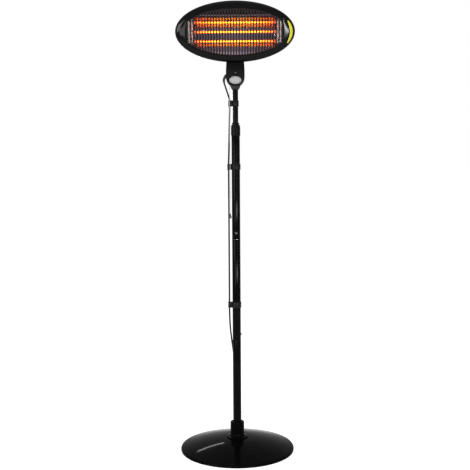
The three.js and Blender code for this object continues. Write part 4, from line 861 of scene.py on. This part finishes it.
def badge_ring(inset, proud):
    wide, tall, y = badge_half_width - inset, badge_half_height - inset, neck_front + 0.0002 - proud
    return [Vector((wide * cos(t), y, badge_z + tall * sin(t))) for t in round_turns(badge_sides)]


badge_steps = mm(
    (0, 0), (0, 0.8), (0.3, 1.1), (2.1, 1.2), (2.4, 0.9), (3.1, 0.9),
    (3.4, 1.2), (8, 1.3), (13.5, 1.3),
)
badge = skinned("badge_plate", [badge_ring(*step) for step in badge_steps], badge_enamel, 30)
badge.data.materials.append(badge_rim.material)
for face in badge.data.polygons:
    if 3 * badge_sides <= face.index < 6 * badge_sides:
        face.material_index = 1
fit(badge, "neck", "mast")

nut_plastic = Finish("nut_plastic", (0.03, 0.03, 0.031), 0.6, level=0.1)
nut_plastic.grain(0.0001, 800, 4).mottle((0.02, 0.02, 0.021), 200, 5)
nut_sides = mm(
    (11.4, 1473.5, 0), (11.4, 1453.1, 0.3), (12.7, 1453.1, 0.4), (14.2, 1456.2, 1),
    (19.6, 1466, 1.5), (20.9, 1469.6, 1), (20.9, 1473.5, 0),
)
mast_nut = turned("mast_nut_cone", filleted(nut_sides, 4), 96, nut_plastic)
neck_place = posed((0, 0, neck_centre), pi / 2)
cut_with(mast_nut, rod("neck_round", neck_half + 0.0002, -0.05, 0.05, 128, zinc, neck_place))
ribbed(mast_nut, nut_plastic, 18, 0.0159, 1.4592, length=0.0118, wide=0.0026, deep=0.0008, lean=0.0065)
fit(mast_nut, "mast_nut", "mast", "mast_nut")

switch_plastic = Finish("switch_plastic", (0.04, 0.04, 0.042), 0.45).grain(0.00004, 1200)
keep(switch_plastic, "pull_switch", "fall_switch")
steatite = Finish("steatite", (0.78, 0.74, 0.66), 0.7).mottle((0.7, 0.66, 0.58), 90, 5).grain(0.0001, 700, 4)
keep(steatite, "terminal_block")
keep(relief_rubber, "cord_gland")


# ---- Tilt hinge
# A cast alloy bracket stands in the mast and fills the neck's top, and a steel bolt crosses it.
# A lobed plastic knob on the right draws the head's two ears against the bracket.
cast_alloy = Finish("cast_alloy", (0.05, 0.05, 0.052), 0.48, 0.5).gloss(0.4, 0.6, 150, 5)
keep(cast_alloy.grain(0.0001, 500, 5), "hinge_bracket")
keep(zinc, "hinge_bolt")
hinge_y, hinge_z, lobe_rise, lobe_count = 0.0135, 1.5875, 0.0009, 8
hinge_place = posed((0, hinge_y, hinge_z), pi / 2, "Y")
tilt_plastic = Finish("tilt_plastic", (0.022, 0.022, 0.023), 0.36)
tilt_plastic.gloss(0.3, 0.46, 120, 4).grain(0.00005, 1400, 2)
knob_rings = []
for radius, height, lobes in (
    (0.0086, 0.0206, 0), (0.0088, 0.0246, 0), (0.0105, 0.0256, 0.1), (0.0138, 0.0266, 0.8),
    (0.0146, 0.0276, 1), (0.0148, 0.03, 1), (0.0148, 0.0345, 1), (0.0143, 0.0365, 1),
    (0.0128, 0.0379, 0.8), (0.0105, 0.0384, 0.3), (0.0092, 0.0382, 0), (0.0086, 0.0377, 0),
    (0.004, 0.0376, 0), (0.0005, 0.0376, 0),
):
    ring = []
    for turn in round_turns(128):
        reach = radius + lobe_rise * lobes * (1 - 2 * abs(sin(lobe_count / 2 * turn)) ** 3)
        ring.append(hinge_place @ Vector((reach * cos(turn), reach * sin(turn), height)))
    knob_rings.append(ring)
tilt_knob = skinned("tilt_knob_grip", knob_rings, tilt_plastic, 40)
cut_with(tilt_knob, rod("knob_bore", 0.00425, 0.018, 0.0349, 32, tilt_plastic, hinge_place))
fit(tilt_knob, "tilt_knob", "tilt_knob", "tilt_knob")


# ---- Head bezel
# A deep-drawn aluminium oval in satin black frames the grille, and its skirt holds the rear casing.
# Its opening has two long curved edges and two short upright ends.
head_middle, head_lean = (0, -0.075, 1.665), radians(17)
head_place = posed(head_middle, head_lean)
rim_half_width, rim_half_height = 0.2315, 0.116
arc_half_width, opening_half_width, opening_half_height = 0.206, 0.1805, 0.088
corner_turn = acos(opening_half_width / arc_half_width)
face_turns = []
for flip in (0, pi):
    face_turns += [flip - corner_turn + 2 * corner_turn * i / 24 for i in range(24)]
    face_turns += [flip + corner_turn + (pi - 2 * corner_turn) * i / 72 for i in range(72)]


def rim_ring(inset, depth, share=1.0):
    """A ring round the head, drawn in from the rim, at a depth behind its face."""
    wide, tall = (rim_half_width - inset) * share, (rim_half_height - inset) * share
    return [head_place @ Vector((wide * cos(t), depth, tall * sin(t))) for t in face_turns]


def rim_point(turn):
    return Vector((rim_half_width * cos(turn), 0, rim_half_height * sin(turn)))


def opening_point(turn):
    across = max(-opening_half_width, min(opening_half_width, arc_half_width * cos(turn)))
    return Vector((across, 0, opening_half_height * sin(turn)))


def face_ring(share, depth):
    """A ring between the rim, at share 0, and the opening's edge, at share 1."""
    spots = [rim_point(turn).lerp(opening_point(turn), share) for turn in face_turns]
    return [head_place @ Vector((spot.x, depth, spot.z)) for spot in spots]


bezel_paint = Finish("bezel_paint", (0.0008, 0.0008, 0.0009), 0.1, level=0.09)
bezel_paint.gloss(0.07, 0.12, 22, 5).grain(0.00003, 600).mottle((0.002, 0.002, 0.0021), 30, 6, 0.45, 0.8)


def bezel_depth(share):
    """The front skin's depth between the rim and the opening: rounded over at the rim, then nearly flat."""
    return -0.004 - 0.011 * (1 - (1 - min(1.0, share / 0.92)) ** 2.1)


rim_front = mm((0, 9.9), (0, 6), (0, 1), (0.3, -0.6), (1.2, -2.2), (2.6, -3.6))
skin_shares = (0.1, 0.17, 0.25, 0.34, 0.44, 0.55, 0.66, 0.77, 0.86, 0.92)
lip = (
    (0.95, -0.0149), (0.975, -0.0146), (0.992, -0.0139), (1, -0.0128), (1, -0.0094), (0.995, -0.009),
    (0.62, -0.009), (0.3, -0.0054),
)
skirt = mm((6, 0), (2.5, 2.5), (2.5, 9.5), (2, 9.9))
bezel_rings = [rim_ring(*step) for step in rim_front] + [face_ring(s, bezel_depth(s)) for s in skin_shares]
bezel_rings += [face_ring(*step) for step in lip] + [rim_ring(*step) for step in skirt]
bezel = skinned("bezel_frame", bezel_rings, bezel_paint, 40, looped=True)
fit(bezel, "head_bezel", "head", "head_bezel")

# A plain yellow crescent of film is stuck on the bezel's right end.
crescent_film = Finish("crescent_film", (0.6, 0.56, 0.03), 0.35)
crescent_film.gloss(0.28, 0.42, 200, 4).mottle((0.5, 0.46, 0.03), 50, 4)


def on_bezel(turn, inset, proud):
    """A point on the bezel's front skin, an inset in from the rim along the head's radius."""
    rim, edge = rim_point(turn), opening_point(turn)
    share = inset / (rim - edge).length
    spot = rim.lerp(edge, share)
    return head_place @ Vector((spot.x, bezel_depth(share) - proud, spot.z))


crescent_reach, crescent_outer, crescent_width = radians(24), 0.0095, 0.011
crescent_rings = []
for i in range(41):
    turn = crescent_reach * (i / 20 - 1)
    full = sqrt(max(0.0, 1 - (turn / crescent_reach) ** 2))
    inner = crescent_outer + crescent_width * full + 0.0002
    corners = (
        (crescent_outer, 0.0001), (crescent_outer + 0.0002, 0.0003), (inner - 0.00015, 0.0003),
        (inner, 0.0001), ((crescent_outer + inner) / 2, -0.0003),
    )
    crescent_rings.append([on_bezel(turn, inset, proud) for inset, proud in corners])
crescent = skinned("yellow_crescent", crescent_rings, crescent_film, 60)
fit(crescent, "head_bezel", "head")


# ---- Grille
# One steel sheet is pierced with a row of upright slots, whose lengths follow the oval opening.
# It is sprayed with heat-resistant grey paint and spot-welded behind the bezel's lip.
# The red tint in the grey paint and in its patches is painted glow from the tubes falling on the bars.
grille_paint_and_painted_glow = Finish("grille_paint_and_painted_glow", (0.018, 0.011, 0.011), 0.45, level=0.06)
grille_paint_and_painted_glow.gloss(0.38, 0.55, 260, 4).grain(0.00004, 900).mottle((0.026, 0.018, 0.018), 35, 6, 0.4, 0.75)
sheet_share, sheet_depth, slot_sides = 0.83, 0.0057, 14
sheet_spots = [rim_point(turn).lerp(opening_point(turn), sheet_share) for turn in face_turns]
sheet_edges = [(i, (i + 1) % len(sheet_spots)) for i in range(len(sheet_spots))]
outline_mesh = bpy.data.meshes.new("grille_sheet")
outline_mesh.from_pydata([(spot.x, spot.z, 0) for spot in sheet_spots], sheet_edges, [])
grille = placed("grille_sheet", outline_mesh)


def pierced(tree, entry):
    """Fills the sheet between its outline and a row of long slots, then gives it its thickness."""

    def sum_of(operation, *values):
        return calculated(tree, operation, *values)

    row_length = sum_of("MULTIPLY", sum_of("SUBTRACT", entry["Slots"], 1), entry["Pitch"])
    row_start, row_step = vector(tree, X=sum_of("MULTIPLY", row_length, -0.5)), vector(tree, X=entry["Pitch"])
    row = shape(tree, "MeshLine", {"Count": entry["Slots"], "Start Location": row_start, "Offset": row_step})
    # Each slot stops a margin short of the oval at its outer side.
    outer_side = sum_of("ADD", sum_of("ABSOLUTE", point_parts(tree)["X"]), entry["Slot Radius"])
    share = sum_of("DIVIDE", outer_side, entry["Arc Half Width"])
    left_over = sum_of("SQRT", sum_of("SUBTRACT", 1.0, sum_of("MULTIPLY", share, share)))
    edge = sum_of("MULTIPLY", left_over, entry["Arc Half Height"])
    reach = sum_of("SUBTRACT", sum_of("SUBTRACT", edge, entry["Margin"]), entry["Slot Radius"])
    row = shape(tree, "StoreNamedAttribute", {"Geometry": row, "Name": "reach", "Value": reach})
    outside = sum_of("DIVIDE", entry["Slot Radius"], cos(pi / slot_sides))
    ring = shape(tree, "CurvePrimitiveCircle", {"Resolution": slot_sides, "Radius": outside})
    ring = shape(tree, "Transform", {"Geometry": ring, "Rotation": (0, 0, pi / slot_sides)})
    slots = shape(tree, "InstanceOnPoints", {"Points": row, "Instance": ring})
    slots = shape(tree, "RealizeInstances", {0: slots})
    # The two halves of each ring are drawn apart by its reach.
    kept_reach = add_node(tree, "GeometryNodeInputNamedAttribute", {"Name": "reach"}).outputs["Attribute"]
    apart = sum_of("MULTIPLY", sum_of("SIGN", point_parts(tree)["Y"]), kept_reach)
    slots = shape(tree, "SetPosition", {"Geometry": slots, "Offset": vector(tree, Y=apart)})
    outline = shape(tree, "MeshToCurve", {0: entry["Geometry"]})
    face = shape(tree, "FillCurve", {0: gathered(tree, slots, outline)})
    grow = {"Mesh": face, "Offset Scale": entry["Thickness"], "Individual": False}
    whole = gathered(tree, shape(tree, "ExtrudeMesh", grow), shape(tree, "FlipFaces", {0: face}))
    return shape(tree, "MergeByDistance", {"Geometry": whole, "Distance": 1e-5})


grille_sizes = {
    "Slots": 33, "Pitch": 0.011, "Slot Radius": 0.0028, "Arc Half Width": arc_half_width,
    "Arc Half Height": opening_half_height, "Margin": 0.0022, "Thickness": 0.003,
}
grown(grille, grille_sizes, grille_paint_and_painted_glow, pierced)


def softened(target, width, over, crease):
    """Bevels the edges over an angle, then shades the target smooth but for edges over the crease."""
    bevel = target.modifiers.new("soft_edges", "BEVEL")
    bevel.width, bevel.segments = width, 2
    bevel.limit_method = "ANGLE"
    bevel.angle_limit = radians(over)
    settled(target)
    target.data.shade_smooth()
    target.data.set_sharp_from_angle(angle=radians(crease))


softened(grille, 0.00045, 50, 30)
# The sheet is made flat, facing up, and is stood up behind the lip.
grille.data.transform(head_place @ posed((0, -sheet_depth, 0), pi / 2))
fit(grille, "guard", "head", "guard_grille")


# ---- Reflector
# A trough of bright rolled aluminium behind the tubes throws their heat forward.
# It is curved from top to bottom only, and its corners are clipped to fit the oval.
bright_sheet = Finish("bright_sheet", (0.14, 0.108, 0.135), 0.09, 1.0)
bright_sheet.gloss(0.06, 0.14, 180, 4, (0.04, 1, 1)).grain(0.0005, 10, 2, (0.3, 1, 1), 0.15)
bright_sheet.grain(0.00003, 500, 3, (0.02, 1, 1))
trough_top, trough_bottom, trough_front, trough_back = 0.064, -0.094, -0.0051, 0.032
trough_middle, trough_half = (trough_top + trough_bottom) / 2, (trough_top - trough_bottom) / 2
trough_half_width, trough_columns, trough_rows = 0.16, 60, 36
oval_half_width, oval_half_height = 0.2183, 0.1028
trough_points, trough_faces = [], []
for i in range(trough_columns + 1):
    x = trough_half_width * (2 * i / trough_columns - 1)
    limit = oval_half_height * sqrt(1 - (x / oval_half_width) ** 2)
    low, high = max(trough_bottom, -limit), min(trough_top, limit)
    for j in range(trough_rows + 1):
        up = low + (high - low) * j / trough_rows
        depth = trough_front + (trough_back - trough_front) * (1 - ((up - trough_middle) / trough_half) ** 2)
        trough_points.append(head_place @ Vector((x, depth, up)))
for i in range(trough_columns):
    for j in range(trough_rows):
        a = i * (trough_rows + 1) + j
        trough_faces.append((a, a + trough_rows + 1, a + trough_rows + 2, a + 1))
reflector = piece("reflector_trough", trough_points, trough_faces, bright_sheet, 60)
# Its faces point forward, so the wall grows backwards.
toward_front = head_place.to_3x3() @ Vector((0, -1, 0))
if reflector.data.polygons[trough_columns * trough_rows // 2].normal.dot(toward_front) < 0:
    reflector.data.flip_normals()
wall = reflector.modifiers.new("wall", "SOLIDIFY")
wall.thickness, wall.offset = 0.0007, -1
settled(reflector)
fit(reflector, "reflector", "head", "reflector")


# ---- Tube holders
# Two plates stamped from bright steel sheet close the reflector's slanted ends, with oval windows.
# The tubes' ceramic ends sit in their three round holes.
stamped_sheet = Finish("stamped_sheet", (0.9, 0.91, 0.93), 0.4, 0.2)
stamped_sheet.gloss(0.3, 0.5, 300, 4, (1, 1, 0.1)).grain(0.00004, 400)
keep(stamped_sheet, "tube_holder_left", "tube_holder_right")


# ---- Heating tubes
# Each clear quartz tube holds a glowing coil of resistance wire, and a ceramic cap closes each end.
# The caps sit in the tube holders' holes, and the coil glows redder towards both ends.
# The glass also carries a faint orange-red emission of its own, which is a painted glow round the coils.
quartz = Finish(
    "quartz_glass", (1.0, 0.93, 0.85), 0.03, Transmission_Weight=1.0, IOR=1.45, level=0.06,
    Emission_Color=(1.0, 0.1, 0.01, 1), Emission_Strength=0.2,
).gloss(0.02, 0.07, 60)
glowing = Finish("glowing_wire", (0.9, 0.3, 0.05), 0.6, Emission_Strength=7.5)
glow_place = glowing.add("ShaderNodeSeparateXYZ", {0: glowing.place}).outputs["X"]
glow_across = calculated(glowing.tree, "ABSOLUTE", glow_place)
glow_span = {"From Min": 0.06, "From Max": 0.149, "Value": glow_across}
glow_share = glowing.add("ShaderNodeMapRange", glow_span).outputs[0]
glow_ramp = glowing.add("ShaderNodeValToRGB", {"Fac": glow_share})
glow_ramp.color_ramp.elements[0].color = (1.0, 0.42, 0.002, 1)
glow_ramp.color_ramp.elements[1].color = (0.8, 0.1, 0.001, 1)
glowing.feed("Emission Color", glow_ramp.outputs["Color"])
lead_wire = Finish("lead_wire", (0.35, 0.33, 0.31), 0.35, 1.0).gloss(0.28, 0.45, 500)
cap_ceramic = Finish("cap_ceramic", (0.8, 0.76, 0.68), 0.65)
cap_ceramic.mottle((0.66, 0.6, 0.52), 160, 5).grain(0.0001, 800, 4)
coil_length, tube_depth, lead_start, lead_end = 0.298, 0.006, 0.1485, 0.1799
coil_sizes = {"Turns": 110.0, "Coil Radius": 0.0025, "Length": coil_length, "Wire Radius": 0.00055}
glass_sides = mm((4.5, 0, 0), (4.5, -172, 0.2), (5.5, -172, 0.3), (5.5, 172, 0.3), (4.5, 172, 0.2), (4.5, 1, 0))
cap_sides = mm(
    (5.8, 165, 0), (5.8, 157, 0.3), (7.2, 157, 0.7), (7.2, 160.5, 0.2),
    (6.8, 160.9, 0.2), (6.8, 164.9, 0.2), (7.2, 165.3, 0.2), (7.2, 178, 1.2),
    (1.3, 178, 0.3), (1.3, 172.3, 0), (5.8, 172.3, 0),
)


def wound(tree, entry):
    """A wire swept along a close spiral."""
    radius = entry["Coil Radius"]
    spiral = {"Resolution": 10, "Rotations": entry["Turns"], "Start Radius": radius, "End Radius": radius}
    helix = shape(tree, "CurveSpiral", {**spiral, "Height": entry["Length"]})
    section = shape(tree, "CurvePrimitiveCircle", {"Resolution": 6, "Radius": entry["Wire Radius"]})
    return shape(tree, "CurveToMesh", {"Curve": helix, "Profile Curve": section, "Fill Caps": True})


for label, up in (("top", 0.0345), ("middle", -0.001), ("bottom", -0.0365)):
    along_tube = head_place @ posed((0, tube_depth, up), pi / 2, "Y")
    glass = turned(f"quartz_glass_{label}", filleted(glass_sides, 2), 32, quartz, 50, along_tube)
    fit(glass, "quartz", "head", f"quartz_tube_{label}")

    coil = placed(f"coil_{label}", bpy.data.meshes.new(f"coil_{label}"))
    grown(coil, coil_sizes, glowing, wound)
    coil.data.transform(along_tube @ posed((0, 0, -coil_length / 2)))
    coil.data.shade_smooth()
    fit(coil, "element", "head", f"element_{label}")

    for side, end in ((-1, "left"), (1, "right")):
        mirrored = along_tube @ Matrix.Diagonal((1, 1, side, 1))
        lead = rod(f"lead_{label}_{end}", 0.0009, lead_start, lead_end, 12, lead_wire, mirrored)
        fit(lead, "element", "head")
        cap = turned(f"cap_{label}_{end}", filleted(cap_sides, 3), 40, cap_ceramic, 35, mirrored)
        fit(cap, "ceramic", "head", f"ceramic_cap_{label}_{end}")


# ---- Rear casing
# A drawn aluminium dish in dark grey paint closes the head's back, pierced by cooling slots.
# Its edge slips inside the bezel's skirt.
casing_paint = Finish("casing_paint", (0.03, 0.03, 0.032), 0.42, level=0.25)
casing_paint.gloss(0.36, 0.52, 26, 5).grain(0.00005, 700).mottle((0.04, 0.04, 0.042), 24, 6, 0.45, 0.8)
dish_edge, dish_stretch, dish_inset, dish_inner = (1, 0.0032), 8, 0.0028, 0.0048
dish_marks = [(1, 0.009), (0.96, 0.0205), (0.87, 0.032), (0.73, 0.0415), (0.52, 0.0478), (0.25, 0.05)]
dish_route = smooth_route([(share, depth * dish_stretch, 0) for share, depth in dish_marks], 0.02)
dish_shares = [(p.x, p.y / dish_stretch) for p in dish_route] + [(0.12, 0.05), (0.02, 0.05)]
dish_wall = dish_inner - dish_inset
outside = [rim_ring(dish_inset, depth, share) for share, depth in [dish_edge, *dish_shares]]
inside = [rim_ring(dish_inner, dish_edge[1], dish_edge[0])]
inside += [rim_ring(dish_inner, depth - dish_wall, share) for share, depth in dish_shares]
casing = skinned("rear_casing", outside + inside[::-1], casing_paint, 40, looped=True)
vent_radius, vent_reach, vent_pitch, vent_start = 0.003, 0.01, 0.024, 0.062
vent_rise, vent_drop = 0.044, 0.003
vent_tools, half_slot = [], []
for k in range(17):
    turn = pi * k / 16
    half_slot.append((vent_radius * cos(turn), vent_reach + vent_radius * sin(turn)))
vent_shape = half_slot + [(-x, -y) for x, y in half_slot]
for i in range(3):
    for side in (-1, 1):
        for row in (-1, 1):
            across, up = side * (vent_start + i * vent_pitch), row * (vent_rise - i * vent_drop)
            rings = [
                [head_place @ Vector((across + x, depth, up + y)) for x, y in vent_shape]
                for depth in (0.012, 0.08)
            ]
            vent_tools.append(skinned(f"vent_{i}_{side}_{row}", rings, casing_paint))
cut_with(casing, *vent_tools)
fit(casing, "head_shell", "head", "head_shell")


# ---- Wiring box
# A box of moulded dark plastic down the middle of the head's back covers the wiring.
# Its two ears take the hinge bolt, and four small screws hold it.
# The round thermal cut-out is clipped to the dish inside it.
box_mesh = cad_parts["rear_box"].data.copy()
wiring_box = placed("wiring_box", box_mesh)
weld = bmesh.new()
weld.from_mesh(box_mesh)
bmesh.ops.remove_doubles(weld, verts=weld.verts, dist=1e-5)
bmesh.ops.dissolve_limit(weld, angle_limit=radians(1), verts=weld.verts, edges=weld.edges)
weld.to_mesh(box_mesh)
weld.free()
softened(wiring_box, 0.0007, 38, 32)
box_plastic = Finish("box_plastic", (0.04, 0.04, 0.042), 0.45).gloss(0.38, 0.54, 110, 5)
box_plastic.grain(0.00005, 1300, 2)
wiring_box.data.materials.clear()
wiring_box.data.materials.append(box_plastic.material)
fit(wiring_box, "head_shell", "head", "rear_box")
keep(zinc, "thermal_cutout")

box_back, box_screw_x, box_screw_z = 0.0818, (-0.029, 0.029), (0.096, -0.062)
box_places = [((x, box_back, z), (-quarter, 0, 0)) for x in box_screw_x for z in box_screw_z]
box_screws = domed_screws("box_screws", 0.0036, 0.002, box_places)
box_screws.data.transform(head_place)
fit(box_screws, "fastener", "head")


low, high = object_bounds()
